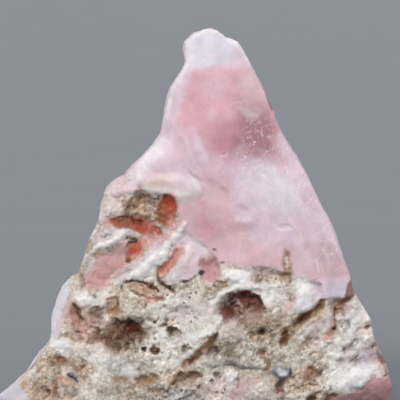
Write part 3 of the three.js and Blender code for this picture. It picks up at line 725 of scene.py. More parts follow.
UPPER_LEFT = [
    spot("blush", (-20.8, 51.4), (3.4, 5), 15, 0.92, 0.5),
    spot("blush", (-22.6, 45), (2.6, 3.4), -10, 0.85, 0.5),
    spot("milk", (-20, 46.4), (2, 1), 10, 0.5, 0.7),
    spot("milk", (-13.8, 55.9), (2.6, 1.3), 20, 0.8, 0.4),
    patch("tan", [(-18, 49.2), (-17, 54.4), (-9.6, 54.8), (-8.4, 52), (-9, 48.4)], 0.95, 0.6),
    spot("peach", (-14.4, 52.6), (3, 1.8), 10, 0.5, 0.6),
    spot("brown", (-16.8, 52.4), (1.2, 0.8), 10, 0.4, 0.6),
    spot("ivory", (-15.4, 50), (2.2, 1.2), 10, 0.6, 0.6),
    spot("brown", (-12, 49.2), (3, 0.9), -8, 0.3, 0.6),
    spot("peach", (-12.6, 51.6), (1.6, 1.2), 30, 0.35, 0.6),
    spot("grey", (-10.2, 52.6), (1.8, 2), 20, 0.4, 0.6),
    spot("tan", (-13.4, 56), (1.1, 2), -10, 0.7, 0.4),
    spot("amber", (-6.5, 51.4), (2.4, 3.9), -12, 1, 0.12),
    spot("ember", (-5.7, 52.8), (1.6, 2.6), -8, 0.85, 0.7),
    stroke("garnet", [(-8.4, 52.8), (-8.2, 50), (-7.4, 48)], 0.5, 0.5, 0.7),
    spot("rust", (-6.6, 49.6), (1.4, 1.6), -8, 0.5, 0.8),
    spot("ochre", (-8.2, 50.4), (0.8, 2.8), -10, 0.6, 0.7),
    spot("coral", (-5.2, 48.6), (1.5, 1.6), 0, 0.7, 0.6),
    # Painted shadow: a brown line at the top of the amber wall, under the lip's edge.
    stroke("brown", [(-7.6, 54.6), (-6.8, 55.2), (-6.2, 54.9)], 0.3, 0.8, 0.6),
    stroke("coral", [(-21.4, 48.4), (-18.6, 48.2)], 1.2, 0.6, 0.8),
    stroke("amber", [(-19.8, 48.4), (-16.4, 48.2), (-14, 47.4), (-11.4, 46.4), (-7.6, 45.2)], 1.9, 1, 0.3),
    stroke("tan", [(-18.6, 49), (-16, 49)], 0.8, 0.5, 0.8),
    stroke("garnet", [(-15.4, 48.4), (-13, 47.6)], 0.35, 0.7, 0.6),
    stroke("ember", [(-14.4, 47), (-12.8, 46.6), (-10.6, 46), (-8, 45.4)], 1.1, 0.6, 0.6),
    stroke("garnet", [(-18, 48.6), (-13, 47), (-8.4, 45)], 1.2, 0.25, 0.8),
    stroke("brown", [(-19, 49.6), (-16.8, 49.8), (-14.4, 48.7), (-12.8, 48.4)], 0.34, 0.8, 0.5),
    stroke("rust", [(-18.6, 47.9), (-14, 47)], 0.9, 0.6, 0.7),
    stroke("rose", [(-12.6, 44.2), (-8.6, 43.6), (-5.6, 45), (-4.4, 48)], 1.5, 0.75, 0.5),
    spot("coral", (-8, 44.4), (2.6, 0.9), 10, 0.6, 0.7),
    stroke("milk", [(-24.8, 41.4), (-22.6, 42.4), (-19.4, 44.2), (-15.7, 46)], 1, 0.9, 0.45),
    stroke("rose", [(-16.6, 41.4), (-20.4, 38.2), (-23.8, 35), (-26, 32)], 3.1, 0.95, 0.3),
    stroke("coral", [(-22, 36), (-24.6, 33.6)], 1.8, 0.35, 0.8),
    stroke("coral", [(-17.2, 39), (-20.8, 36.6)], 0.4, 0.4, 0.8),
    stroke("tan", [(-25.6, 40.3), (-23, 40.2)], 0.4, 0.7, 0.6),
    spot("blush", (-26, 37.8), (1.4, 2.6), -20, 0.8, 0.5),
    spot("coral", (-14, 41.6), (3.2, 2), 52, 0.8, 0.5),
    spot("amber", (-14.6, 41), (2.6, 1.3), 52, 0.6, 0.6),
    spot("ember", (-14.2, 41.6), (1.8, 1), 52, 0.9, 0.5),
    spot("coral", (-12.8, 42.8), (1.4, 1), 40, 0.5, 0.7),
    stroke("dark", [(-16.7, 42), (-15.6, 42.8), (-14.3, 43.5)], 0.28, 0.95, 0.5),
    spot("brown", (-16.1, 39.1), (0.8, 0.6), 0, 0.9, 0.5),
    stroke("milk", [(-17, 33.8), (-13.2, 35.6), (-10.4, 38), (-7.6, 40.9)], 1.5, 0.85, 0.5),
    stroke("milk", [(-9, 39.6), (-6.4, 42.4), (-4, 45.8), (-2.2, 48)], 0.9, 0.7, 0.6),
    stroke("pale", [(-15.6, 37), (-12, 39), (-9, 42), (-6.6, 44.6)], 1, 0.6, 0.6),
    spot("blush", (-15.8, 35.2), (4.2, 1.9), 25, 0.9, 0.4),
    spot("milk", (-13, 36.2), (3.4, 1.5), 35, 0.75, 0.5),
    spot("milk", (-9.4, 38.6), (2.6, 1.7), 45, 0.8, 0.5),
    stroke("ivory", [(-13, 35), (-9.6, 37.6)], 0.7, 0.2, 0.8),
    patch("pale", [(-5.2, 34.6), (-3.4, 41), (-1, 45), (2, 44.4), (1.8, 39), (0.6, 35.4), (-2.6, 33.6)],
          0.95, 0.7),
    stroke("blush", [(0.8, 42.6), (-0.6, 38.6), (-1.8, 35.4)], 0.6, 0.5, 0.7),
    stroke("cream", [(0.4, 44), (-2, 38.4), (-3.6, 34.8)], 2, 0.6, 0.7),
    spot("petal", (-0.6, 37), (1.4, 2.4), -20, 0.4, 0.8),
    stroke("coral", [(-3, 41.8), (-5.6, 37.8), (-8.4, 35.1)], 1.15, 0.97, 0.35),
    stroke("amber", [(-4.6, 39.8), (-6.4, 37.4), (-8.4, 35.4)], 0.9, 0.35, 0.8),
    stroke("rose", [(-3, 42.6), (-4.8, 39)], 0.8, 0.4, 0.7),
    stroke("amber", [(-7, 37), (-8.8, 35.2)], 0.35, 0.5, 0.6),
    stroke("brown", [(-8.8, 35.6), (-9, 34.5), (-7.9, 33.1), (-6.3, 32), (-4.5, 30.8)], 0.42, 0.9, 0.5),
    stroke("dark", [(-7.4, 32.6), (-5.4, 31.4)], 0.24, 0.7, 0.6),
    # Painted highlight: a white spot on the lower end of the lavender ridge.
    spot("milk", (-5.4, 34.6), (1.7, 1.1), 40, 0.7, 0.6),
]

MIDDLE = [
    spot("rose", (4.8, 36.6), (2.4, 3.4), 0, 0.95, 0.4),
    spot("coral", (4.4, 37), (1.8, 2.2), 0, 0.5, 0.8),
    spot("mauve", (4.8, 36), (2, 3), 0, 0.75, 0.8),
    stroke("white", [(2.4, 33.4), (5, 32.8)], 0.5, 0.6, 0.6),
    spot("tan", (2.2, 38.8), (0.9, 1.1), 0, 0.7, 0.5),
    spot("dark", (2, 35.8), (0.55, 0.7), 0, 1, 0.4),
    spot("dark", (7.8, 38.3), (0.45, 0.4), 0, 0.9, 0.5),
    spot("dark", (5.5, 41.8), (0.45, 0.35), 0, 0.7, 0.5),
    spot("dark", (-2, 33.6), (1.1, 0.5), 12, 0.95, 0.4),
    stroke("brown", [(-1.4, 34), (0.6, 35.2)], 0.35, 0.8, 0.5),
    spot("milk", (11.6, 34.8), (3.8, 2.4), 0, 0.97, 0.25),
    spot("blush", (17.6, 35), (2.8, 1.7), 0, 0.7, 0.5),
    spot("tan", (17.4, 34.4), (2.2, 0.9), 0, 0.4, 0.6),
    spot("tan", (6.8, 32.7), (1.8, 1.6), 0, 0.85, 0.3),
    spot("brown", (6.4, 32.4), (0.9, 0.8), 0, 0.7, 0.6),
    spot("milk", (17.8, 30), (3.6, 2.9), 0, 0.9, 0.35),
    spot("garnet", (12.2, 27.4), (5.4, 3.8), -12, 0.8, 0.4),
    spot("rust", (13.6, 26.8), (3, 1.8), -12, 0.5, 0.6),
    spot("rust", (12.2, 26.8), (5, 3.2), -12, 0.25, 0.6),
    spot("blush", (15, 24.8), (3, 1.5), -10, 0.4, 0.6),
    spot("garnet", (8.4, 25.4), (1.5, 2.6), 0, 0.9, 0.4),
    spot("dark", (8.9, 28.4), (1.9, 1.3), 30, 0.6, 0.5),
    stroke("white", [(11, 28.8), (12.4, 27.2)], 0.3, 0.6, 0.6),
    stroke("blush", [(9.8, 26.8), (11, 25.6)], 0.3, 0.5, 0.6),
    # The red cavity's upper rim: garnet and dark strokes, partly its dark red and partly painted shadow under
    # the rim.
    stroke("garnet", [(11, 31), (14.2, 30.4), (16.3, 29.2), (17.4, 27.2)], 1, 0.95, 0.3),
    stroke("dark", [(14.6, 30.4), (16.8, 28.8), (17.4, 27.4)], 0.35, 0.6, 0.6),
    spot("rust", (13.2, 28.4), (1.5, 0.9), 0, 0.7, 0.4),
    spot("ember", (13.2, 28.4), (0.9, 0.5), 0, 0.4, 0.6),
    stroke("milk", [(15.4, 32.4), (12.5, 32.8), (10, 31.8), (7.6, 30), (5.6, 28), (4.6, 25.2),
                    (5.6, 23.4), (4.6, 21.4), (2.4, 20.4), (-1, 20.4)], 1.3, 0.85, 0.35),
    stroke("buff", [(12, 32.2), (7, 29), (5, 25.4), (5, 22)], 0.8, 0.7, 0.8),
    spot("cream", (3, 26), (1.9, 3.4), 10, 0.7, 0.6),
    stroke("milk", [(3.4, 20.2), (-1, 19.4), (-5.4, 18.6), (-9, 19.4)], 1.1, 0.5, 0.6),
    stroke("milk", [(-7.4, 14.4), (-3.6, 13.6), (0, 16.4), (2.6, 18.4)], 0.8, 0.4, 0.6),
    spot("peach", (18.6, 24.1), (1.7, 1), 10, 0.6, 0.6),
    spot("brown", (17.2, 21), (1.5, 0.8), 0, 0.8, 0.5),
    spot("blush", (9.4, 21.6), (2.8, 2.4), 0, 0.6, 0.6),
    stroke("ochre", [(6.2, 20.8), (5.2, 18.8), (3.4, 16.9), (1.7, 15.2), (-0.5, 13.5), (-2.8, 12.3)],
           1, 0.9, 0.5),
    stroke("brown", [(5.4, 18.2), (3.4, 16), (1.4, 14.4), (-1, 12.8)], 0.4, 0.7, 0.6),
    spot("brown", (5.3, 15.8), (1.9, 1.4), 20, 0.85, 0.3),
    spot("grey", (4.9, 15.6), (1, 0.7), 0, 0.8, 0.5),
    spot("brown", (-4.8, 21.2), (1.6, 0.8), 0, 0.85, 0.4),
    spot("sand", (-4.8, 20), (1.4, 0.8), 0, 0.7, 0.5),
    spot("rust", (-9.4, 16.3), (1.05, 1.05), 0, 0.8, 0.3),
    spot("brown", (-9.4, 15.8), (0.8, 0.6), 0, 0.7, 0.5),
    spot("dark", (-12.3, 16.2), (0.7, 0.8), 0, 0.95, 0.4),
    spot("sand", (-1.9, 16.2), (1.3, 1), 0, 0.7, 0.4),
    spot("blush", (-2.6, 25.2), (1.8, 2.6), 0, 0.8, 0.5),
    spot("peach", (-12.4, 31.4), (4.8, 1.7), -14, 0.7, 0.35),
    spot("coral", (-12, 31.4), (3.6, 0.9), -14, 0.35, 0.7),
    stroke("dark", [(-18.3, 32.2), (-17.7, 32.3)], 0.45, 1, 0.4),
    stroke("brown", [(-17, 33.1), (-15.6, 33.5), (-13.8, 33.4), (-10, 31.8), (-8.4, 31)], 0.36, 0.85, 0.5),
    stroke("dark", [(-15.8, 30.8), (-13.4, 29.9), (-11.6, 29.5)], 0.34, 0.8, 0.5),
    stroke("rust", [(-11.6, 29.4), (-8.6, 28.9), (-6.7, 29)], 0.32, 0.8, 0.5),
    spot("coral", (-11, 28.7), (2.4, 0.7), -4, 0.6, 0.6),
]

LEFT = [
    spot("milk", (-27.6, 28.6), (2.4, 2.5), 0, 0.85, 0.5),
    stroke("milk", [(-25.6, 28), (-23.4, 28.8), (-21.4, 30.4)], 1.1, 0.6, 0.6),
    spot("ochre", (-19.9, 27.4), (1.5, 2.7), -16, 0.85, 0.4),
    spot("amber", (-19.8, 26.4), (0.9, 1.3), -20, 0.4, 0.7),
    spot("peach", (-20.8, 28.8), (1.2, 1.6), 0, 0.6, 0.6),
    spot("brown", (-23.9, 25.6), (1.9, 1.8), 0, 0.7, 0.5),
    spot("dark", (-25, 23.4), (0.8, 0.35), 0, 1, 0.4),
    spot("peach", (-28.4, 24), (3, 4.4), 18, 0.6, 0.5),
    spot("coral", (-29.2, 24), (1.8, 3.8), 20, 0.45, 0.5),
    spot("tan", (-28.8, 24.6), (1.4, 3), 20, 0.3, 0.6),
    spot("rose", (-27.6, 23), (3, 4), 18, 0.35, 0.6),
    stroke("blush", [(-31, 26), (-30.4, 22), (-29, 19)], 0.6, 0.7, 0.6),
    spot("rust", (-29.4, 23.6), (1, 2.4), 20, 0.4, 0.6),
    stroke("brown", [(-30.2, 28), (-28.6, 25.8), (-27.7, 24.3)], 0.5, 0.9, 0.5),
    stroke("brown", [(-30.6, 23.2), (-29.4, 21.4), (-28, 20.8)], 0.42, 0.85, 0.5),
    spot("brown", (-18.6, 19.8), (6.4, 4.2), 12, 0.92, 0.3),
    spot("rust", (-18.6, 19.6), (5, 3.2), 12, 0.25, 0.6),
    spot("peach", (-21.6, 21.6), (3, 2.2), 20, 0.6, 0.6),
    spot("rust", (-23, 19.6), (1.6, 2.4), 20, 0.5, 0.6),
    spot("dark", (-16.6, 22.4), (3, 1.2), -14, 0.85, 0.4),
    spot("garnet", (-15, 21.2), (2.4, 1), -20, 0.8, 0.6),
    stroke("dark", [(-23.6, 20.4), (-21.8, 19.6), (-20.6, 17.8)], 0.55, 0.9, 0.5),
    spot("tan", (-21.6, 19), (1.6, 2.4), 10, 0.5, 0.6),
    spot("rust", (-20.6, 20.4), (2.6, 1.2), 20, 0.5, 0.6),
    spot("sand", (-16, 17), (4.4, 2.2), 10, 0.45, 0.5),
    # Painted highlights on the rims of flakes in the dark cavity, in blush and peach.
    spot("blush", (-23.4, 22.4), (1.2, 0.5), 20, 0.6, 0.5),
    spot("peach", (-21, 21), (1.1, 0.5), 30, 0.6, 0.5),
    spot("peach", (-20.6, 18.8), (1, 0.5), 50, 0.7, 0.5),
    spot("peach", (-18.4, 21.4), (1, 0.4), -30, 0.4, 0.5),
    *(stroke("dark", line, 0.3, 0.7, 0.6) for line in (
        [(-19, 17.6), (-18.4, 15.8)],
        [(-17.2, 18.4), (-16.4, 16.4)],
        [(-15.2, 18.8), (-14.8, 17.2)],
        [(-13.4, 19.2), (-13, 17.6)],
    )),
    stroke("brown", [(-21.5, 23.8), (-18, 23.8), (-14.8, 23)], 0.5, 0.6, 0.6),
    stroke("dark", [(-25.4, 22.6), (-24, 21.6), (-23.4, 20.2)], 0.35, 0.7, 0.5),
    spot("tan", (-24.3, 19), (1, 1.5), 10, 0.8, 0.5),
    spot("blush", (-23.4, 16.9), (1.5, 1.1), 0, 0.8, 0.5),
    spot("milk", (-33.2, 18), (2.6, 1.3), -10, 0.95, 0.4),
    stroke("milk", [(-34, 17.6), (-29.4, 16.6)], 1.5, 0.8, 0.5),
    stroke("white", [(-30, 16.4), (-24, 14.8), (-19.4, 12.4), (-14.8, 9.8)], 2.4, 0.75, 0.5),
    stroke("milk", [(-26, 14.4), (-21, 13.4)], 1.1, 0.6, 0.6),
    stroke("milk", [(-17, 11.4), (-14, 9)], 1.3, 0.6, 0.6),
    spot("white", (-31, 11.4), (2, 1.6), 30, 0.7, 0.5),
    spot("ivory", (-35.6, 10.6), (2.6, 1.6), 50, 0.7, 0.5),
    spot("white", (-27, 6), (1.6, 1), 0, 0.7, 0.5),
    spot("white", (-24, 9.4), (2.2, 1), 0, 0.6, 0.5),
    spot("brown", (-21, 6.6), (2.6, 1.2), 10, 0.6, 0.5),
    spot("brown", (-27.4, 9.4), (1.6, 0.8), 10, 0.5, 0.5),
    spot("ochre", (-18, 9), (1.8, 0.9), 10, 0.6, 0.5),
    spot("brown", (-37, 6.6), (0.9, 1.2), 10, 0.5, 0.5),
    stroke("grey", [(-22, 13.4), (-17.6, 12.8)], 1.3, 0.6, 0.6),
    spot("rust", (-32.8, 13.8), (2, 1), -35, 0.75, 0.4),
    stroke("rust", [(-31, 13), (-28.8, 11.4)], 0.5, 0.7, 0.5),
    spot("rust", (-31.4, 8.4), (2.6, 1.2), -14, 0.7, 0.5),
    spot("brown", (-30.2, 7.4), (1.6, 0.6), -14, 0.7, 0.5),
    patch("slate", [(-31.8, 10.4), (-30.6, 11.2), (-28.4, 9.2), (-29.2, 8.2)], 0.95, 0.3),
    stroke("dark", [(-31.4, 10.2), (-29.4, 8.8), (-28.6, 8.4)], 0.36, 0.95, 0.4),
    patch("dark", [(-31.4, 10.3), (-30.8, 10.8), (-28.8, 9.2), (-29.2, 8.6)], 0.5, 0.3),
    spot("rust", (-34.3, 6.4), (0.9, 1.5), 0, 0.95, 0.4),
    spot("ochre", (-39.2, 5.6), (1, 2.2), 0, 0.4, 0.5),
    spot("milk", (-40.4, 10.2), (1.8, 1.4), 40, 0.5, 0.6),
    spot("brown", (-12.6, 8.6), (2, 0.7), 10, 0.6, 0.5),
    stroke("lavender", [(-32.6, 34.5), (-34.6, 28.6), (-36.2, 23.4), (-36.6, 19)], 2.6, 0.97, 0.12),
    stroke("milk", [(-31, 34), (-33.6, 28), (-35.4, 22)], 1.5, 0.35, 0.7),
    stroke("petal", [(-29.4, 32.8), (-30.8, 29.2), (-32.6, 25), (-35, 20.4)], 0.4, 0.6, 0.6),
    spot("lavender", (-47, 3), (4.6, 6), -40, 0.97, 0.12),
    spot("cream", (-45, 2), (2, 5), -50, 0.5, 0.6),
]

RIGHT = [
    patch("tan", [(22.4, 35), (23.2, 41.6), (24, 41.2), (25, 35)], 0.8, 0.6),
    stroke("milk", [(23.4, 40), (23.8, 37.6)], 0.3, 0.5, 0.7),
    spot("rust", (22.6, 35), (1.2, 1.2), 0, 0.4, 0.6),
    spot("dark", (23.4, 35.4), (1.1, 0.5), 10, 0.9, 0.5),
    spot("ochre", (23.6, 34.4), (1.2, 0.8), 0, 0.6, 0.6),
    spot("blush", (24, 31), (1.8, 3.6), -15, 0.6, 0.6),
    spot("rose", (24.4, 27.4), (0.9, 3.6), -30, 0.6, 0.7),
    spot("pale", (31.2, 31.6), (2.4, 3), 0, 0.85, 0.5),
    spot("milk", (27.2, 32.2), (2.2, 3), 10, 0.9, 0.4),
    spot("milk", (28.6, 28), (3.4, 2.6), 20, 0.97, 0.3),
    spot("lavender", (28.6, 28.2), (2, 1.4), 20, 0.4, 0.7),
    spot("coral", (29.6, 25), (2.4, 1), 42, 0.3, 0.7),
    stroke("tan", [(29.2, 33.5), (30.4, 34), (31.6, 34.7)], 0.2, 0.5, 0.6),
    stroke("ochre", [(32.8, 28.4), (30.8, 26.4), (28.4, 24.9), (26.2, 22.9), (24.2, 21), (21.8, 17.5)],
           1.25, 0.95, 0.45),
    stroke("tan", [(30.6, 25.8), (28, 23.8), (26, 22)], 0.5, 0.5, 0.7),
    stroke("brown", [(31.6, 27.8), (28.4, 25.4), (25.6, 22.6), (23.8, 20.4), (21.6, 17)], 0.5, 0.85, 0.5),
    spot("peach", (31, 24.7), (2.4, 1.1), 42, 0.9, 0.45),
    spot("dark", (21.9, 17.6), (0.7, 0.5), 40, 0.6, 0.5),
    stroke("rust", [(38.5, 29.8), (36.9, 27), (35.8, 25.2)], 0.8, 0.8, 0.4),
    stroke("coral", [(35, 23.8), (34.4, 21.7), (33.2, 18.9)], 0.6, 0.6, 0.5),
    stroke("tan", [(35.8, 24), (35.4, 21.9), (34.2, 19.2)], 0.6, 0.8, 0.5),
    # Painted shade: dusky along the right flank beside the lavender facet, where it lies in shade.
    stroke("dusky", [(39.8, 33.6), (39.4, 30.8), (38.6, 29.4)], 1.1, 0.97, 0.2),
    spot("milk", (41.4, 25.4), (1.8, 3), -20, 0.8, 0.5),
    spot("milk", (40, 20.4), (2.6, 5.4), 20, 0.45, 0.6),
    spot("white", (36.4, 11.6), (3.4, 3.4), 20, 0.5, 0.6),
    stroke("milk", [(36.6, 17), (39.4, 20.6), (41, 23)], 0.7, 0.6, 0.6),
    stroke("milk", [(38.4, 14.4), (41.4, 18.4)], 0.6, 0.6, 0.6),
    # Painted shade: grey strokes beside the white ridges of the right matrix, where they lie in shade.
    stroke("grey", [(39.4, 22.6), (37, 19.6)], 0.4, 0.6, 0.6),
    stroke("grey", [(42.4, 19.8), (39.6, 16.2)], 0.35, 0.6, 0.6),
    stroke("grey", [(38, 26), (36.8, 22.4)], 0.35, 0.5, 0.6),
    spot("milk", (37.6, 14), (2.6, 4.6), 20, 0.5, 0.6),
    stroke("haze", [(41.4, 22), (39.6, 18), (38.4, 13)], 0.8, 0.5, 0.7),
    stroke("haze", [(44, 20), (43.6, 15), (42, 11)], 0.7, 0.5, 0.7),
    stroke("ochre", [(29.1, 15.2), (30.5, 15.9), (32.8, 15.9), (32, 14)], 0.4, 0.8, 0.5),
    spot("rust", (29.4, 10.6), (1.2, 2.6), -25, 0.7, 0.5),
    spot("tan", (31.4, 12.6), (1.3, 2.2), -25, 0.6, 0.6),
    patch("slate", [(19.4, 10.2), (20.8, 12.6), (24.6, 12), (24.8, 10), (22, 8.4)], 0.9, 0.3),
    patch("milk", [(20.4, 10.4), (21.4, 11.9), (23.8, 11.4), (23.8, 10.4), (22, 9.4)], 0.55, 0.4),
    stroke("milk", [(20.8, 10.2), (22.8, 11)], 0.35, 0.7, 0.6),
    spot("dark", (24.2, 11.2), (0.45, 0.7), 0, 0.8, 0.5),
    spot("brown", (21.4, 7.6), (1.2, 1.4), 0, 0.85, 0.5),
    spot("garnet", (21.9, 5.8), (1.1, 1.1), 0, 0.85, 0.5),
    spot("milk", (9.8, 9.6), (1.7, 1.7), 0, 0.8, 0.4),
    stroke("grey", [(1, 12.3), (4.8, 13.3), (8.2, 14), (15.8, 12.4)], 1, 0.5, 0.6),
    stroke("slate", [(3.6, 12.4), (6, 12.8)], 0.5, 0.4, 0.6),
    stroke("slate", [(7.6, 12.6), (12, 12), (17, 11.6)], 0.3, 0.7, 0.5),
    spot("dark", (5.6, 10.2), (0.8, 0.7), 40, 0.85, 0.5),
    spot("dark", (4.6, 8.8), (0.4, 0.4), 40, 0.85, 0.5),
    stroke("tan", [(2, 10.2), (-0.9, 9.7), (-3.3, 8.8), (-5.5, 7.6)], 1.6, 0.5, 0.5),
    stroke("brown", [(1.5, 10.2), (-0.9, 9.9), (-3.3, 9), (-5.5, 7.8)], 0.8, 0.7, 0.6),
    spot("dark", (0, 10), (1.3, 0.6), 10, 0.6, 0.5),
    stroke("tan", [(-8.4, 9.5), (-10.5, 8.8), (-15, 8.6)], 1.5, 0.5, 0.5),
    stroke("ochre", [(-8.8, 9.5), (-10.5, 9), (-14.3, 8.8)], 0.7, 0.6, 0.6),
    spot("milk", (40.6, 9.4), (5.4, 3.2), 20, 0.95, 0.45),
    spot("lavender", (42.6, 12.6), (2.4, 3), 20, 0.4, 0.7),
    # Painted shade: a dusky strip along the lower right edge, on the flank behind it.
    stroke("dusky", [(45.4, 18.4), (47.4, 14), (49.4, 9.6)], 0.5, 0.75, 0.5),
]

# The smooth corner at the lower right, below this line.
CORNER_LINE = [(34, 4.6), (39.6, 5.6), (41.8, 6.4), (43.4, 8), (45.2, 9.6), (50, 9.8)]

# Where painted glints, small white flecks that stand in for light catching the surface, and dark pores lie:
# the middle, the half sizes, the turn in degrees and the strength.
PAINTED_GLINTS = [
    ((16.6, 68.4), (6, 7), 25, 1),
    ((12, 63.4), (8, 3), -10, 0.7),
    ((7, 78), (6, 3), 10, 0.4),
    ((14.5, 59), (8, 6), 0, 0.45),
    ((27.4, 57), (4, 18), 26, 1),
    ((18, 47), (14, 6), 0, 0.4),
    ((34, 42), (3, 9), 25, 0.6),
    ((-10, 63), (3, 7), -40, 0.6),
    ((-8.4, 44.6), (5, 2.6), 10, 0.9),
    ((-5.2, 48.4), (2, 2), 0, 0.9),
    ((-13, 52), (5, 4), -16, 0.5),
    ((12, 28), (5, 4), -12, 0.6),
    ((42, 18), (5, 14), 20, 0.6),
]
PORES = [
    ((-4, 20), (12, 9), 0, 0.7),
    ((-15, 17), (5, 3), 10, 1),
    ((-4, 4.5), (8, 3), 0, 1),
    ((6, 8), (7, 4), 0, 0.8),
    ((-13, 51.4), (5, 4), -16, 0.5),
    ((16, 20), (10, 8), 0, 0.5),
    ((20, 34), (8, 4), 0, 0.7),
    ((-5, 30), (12, 4), 0, 0.7),
    ((30, 10), (14, 8), 0, 0.5),
    ((-34, 8), (8, 8), 0, 0.5),
]


# The pigments of the face, the flanks and the back. Shares have a row for each pigment and a column for each
# point, and the shares of a point add up to 1.
NAMES = list(PIGMENTS)


def bare_shares(points):
    """The shares of points that have nothing but the ground pigment yet."""
    shares = np.zeros((len(NAMES), points))
    shares[NAMES.index("petal")] = 1
    return shares


def lay(shares, pigment, amount, at=slice(None)):
    """Lays a pigment over what is there, at the given points."""
    shares[:, at] *= 1 - amount
    shares[NAMES.index(pigment), at] += amount


def lay_features(shares, features, x, z, over):
    """Lays features over what is there, one after another. Over says how much of each point they may cover."""
    for pigment, strength, soft, points, half, measure in features:
        at = near(points, half * (1 + soft), x, z)
        share = 1 - smooth_step(1 - soft, 1 + soft, measure(x[at], z[at]))
        lay(shares, pigment, strength * share * over[at], at)


def face_pigments(x, z):
    """How much of each pigment a point of the face has."""
    wx, wz = wandering(x, z)
    matrix = matrix_share(wx, wz)
    whole = np.ones_like(x)
    relief = relief_at(wx, wz)
    patches = smooth_step(-0.15, 0.3, lumps(x, 51, z, 7) + 0.4 * lumps(x, 52, z, 2))
    shares = bare_shares(len(x))
    lay_features(shares, SMOOTH_OPAL, wx, wz, whole)
    veil = lumps(x + z, 55, z - x, 5) + 0.5 * lumps(x, 56, z, 2) + 0.3 * lumps(x, 50, z, 0.9)
    lay(shares, "pale", 0.3 * smooth_step(0, 0.4, veil))
    lay(shares, "pink", 0.12 * smooth_step(0.05, 0.4, -veil))
    lay(shares, "ivory", matrix)
    lay(shares, "tan", matrix * 0.5 * patches)
    blushes = lumps(x, 57, z, 6) + 0.4 * lumps(x, 58, z, 1.8)
    lay(shares, "blush", matrix * 0.6 * smooth_step(0, 0.35, blushes))
    whites = lumps(x, 53, z, 5) + 0.5 * lumps(x, 54, z, 1.6)
    lay(shares, "white", matrix * 0.6 * smooth_step(0, 0.3, whites))
    lay_features(shares, MATRIX_ZONES, wx, wz, matrix)
    bare = matrix * roughness_at(x, z)
    lay(shares, "white", matrix * 0.6 * smooth_step(0, 0.5, -relief))
    lay(shares, "tan", bare * 0.4 * smooth_step(0.1, 0.5, relief))
    lay(shares, "brown", bare * 0.6 * smooth_step(0.4, 0.8, relief) * (0.3 + 0.7 * patches))
    for features in (UPPER_LEFT, MIDDLE, LEFT, RIGHT):
        lay_features(shares, features, wx, wz, whole)
    crumbly = crumbliness(shares) * matrix
    lay(shares, "ivory", 0.55 * crumbly * smooth_step(0.25, 0.6, -relief))
    lay(shares, "brown", 0.4 * crumbly * smooth_step(0.4, 0.9, relief))
    corner = smooth_step(0, 0.5, np.interp(wx, *zip(*CORNER_LINE)) - wz) * smooth_step(33, 36, wx)
    lay(shares, "dusky", corner)
    lay(shares, "rose", 0.5 * corner)
    lay(shares, "coral", 0.4 * corner * smooth_step(0, 0.3, lumps(x, 59, z, 4)))
    return shares


def crumbliness(shares):
    """How crumbly the surface is, from 0 for waxy opal to 1 for weathered matrix."""
    return sum(PIGMENTS[name][1] * share for name, share in zip(NAMES, shares))


def flank_pigments(x, y, z, depth, crust):
    """The pigments of the flanks, the back and the base.

    They are waxy opal with clouds and veins. Matrix covers it as a crust behind the face and in blotches.
    """
    shares = bare_shares(len(x))
    lay(shares, "pale", 0.4)
    clouds = lumps(x, y, z, 17) + 0.5 * lumps(x, y, z, 6)
    right = smooth_step(-5, 30, x)
    lay(shares, "pale", 0.8 * smooth_step(-0.1, 0.3, clouds) * (1 - 0.6 * right))
    lay(shares, "pink", 0.7 * smooth_step(0.05, 0.4, -clouds))
    lay(shares, "mauve", 0.5 * smooth_step(0.1, 0.4, lumps(x, y, z + 30, 14)))
    lay(shares, "dusky", 0.6 * right * smooth_step(-0.2, 0.35, lumps(x + 40, y, z, 13)))
    left = smooth_step(12, 30, -x)
    lay(shares, "lavender", 0.8 * left * smooth_step(-0.3, 0.2, lumps(x, y + 40, z, 15)))
    lay(shares, "haze", 0.35 * smooth_step(-0.1, 0.3, lumps(x, y, z, 3) + 0.5 * lumps(x, y, z, 1.2)))
    lay(shares, "pale", 0.85 * (1 - smooth_step(*RIM_END, depth)))
    # Painted shade: dusky patches on the right flank behind the face's edge.
    for at_x, at_z, size in FLANK_SHADE:
        away = np.sqrt((x - at_x) ** 2 + (z - at_z) ** 2 + (depth / 2) ** 2) / size
        lay(shares, "dusky", 0.8 * (1 - smooth_step(0.3, 1.3, away + 1.4 * lumps(x, y, z, 4))))
    bend = 5 * lumps(x, y, z + 60, 13) + 1.2 * lumps(x, y, z + 60, 3)
    for n, (facing, away) in enumerate(VEINS):
        gap = np.abs((x * facing[0] + y * facing[1] + z * facing[2]) / math.hypot(*facing) - away + bend)
        shown = smooth_step(-0.15, 0.2, lumps(x, y, z + 20 * n, 16))
        lay(shares, "milk", 0.7 * shown * (1 - smooth_step(0.1, 0.9, gap)))
    blotches = lumps(x + 80, y, z, 19) + 0.5 * lumps(x + 80, y, z, 6) + 0.2 * lumps(x + 80, y, z, 1.6)
    less_with_height = 0.012 * (z - 14)
    matrix = np.maximum(crust, smooth_step(-0.02, 0.06, blotches - 0.12 - less_with_height))
    lay(shares, "ivory", matrix)
    lay(shares, "white", 0.5 * matrix * smooth_step(0, 0.3, lumps(x, y, z, 3.4)))
    lay(shares, "tan", 0.6 * matrix * smooth_step(-0.1, 0.3, lumps(x, y, z, 5) + 0.5 * lumps(x, y, z, 1.5)))
    lay(shares, "brown", 0.6 * matrix * smooth_step(0.1, 0.4, lumps(x + 9, y, z, 3)))
    return shares


def stone_object():
    """The stone as one mesh with smooth shading."""
    vertices, faces = stone_surface()
    vertices[:, 1] -= MIDDLE_SHIFT
    mesh = bpy.data.meshes.new("opal_stone")
    mesh.from_pydata((vertices * MM).tolist(), [], faces.tolist())
    stone = bpy.data.objects.new("opal_stone", mesh)
    bpy.context.scene.collection.objects.link(stone)
    thin_out(stone, 2 * len(faces))
    stone.data.polygons.foreach_set("use_smooth", np.ones(len(stone.data.polygons), bool))
    return stone


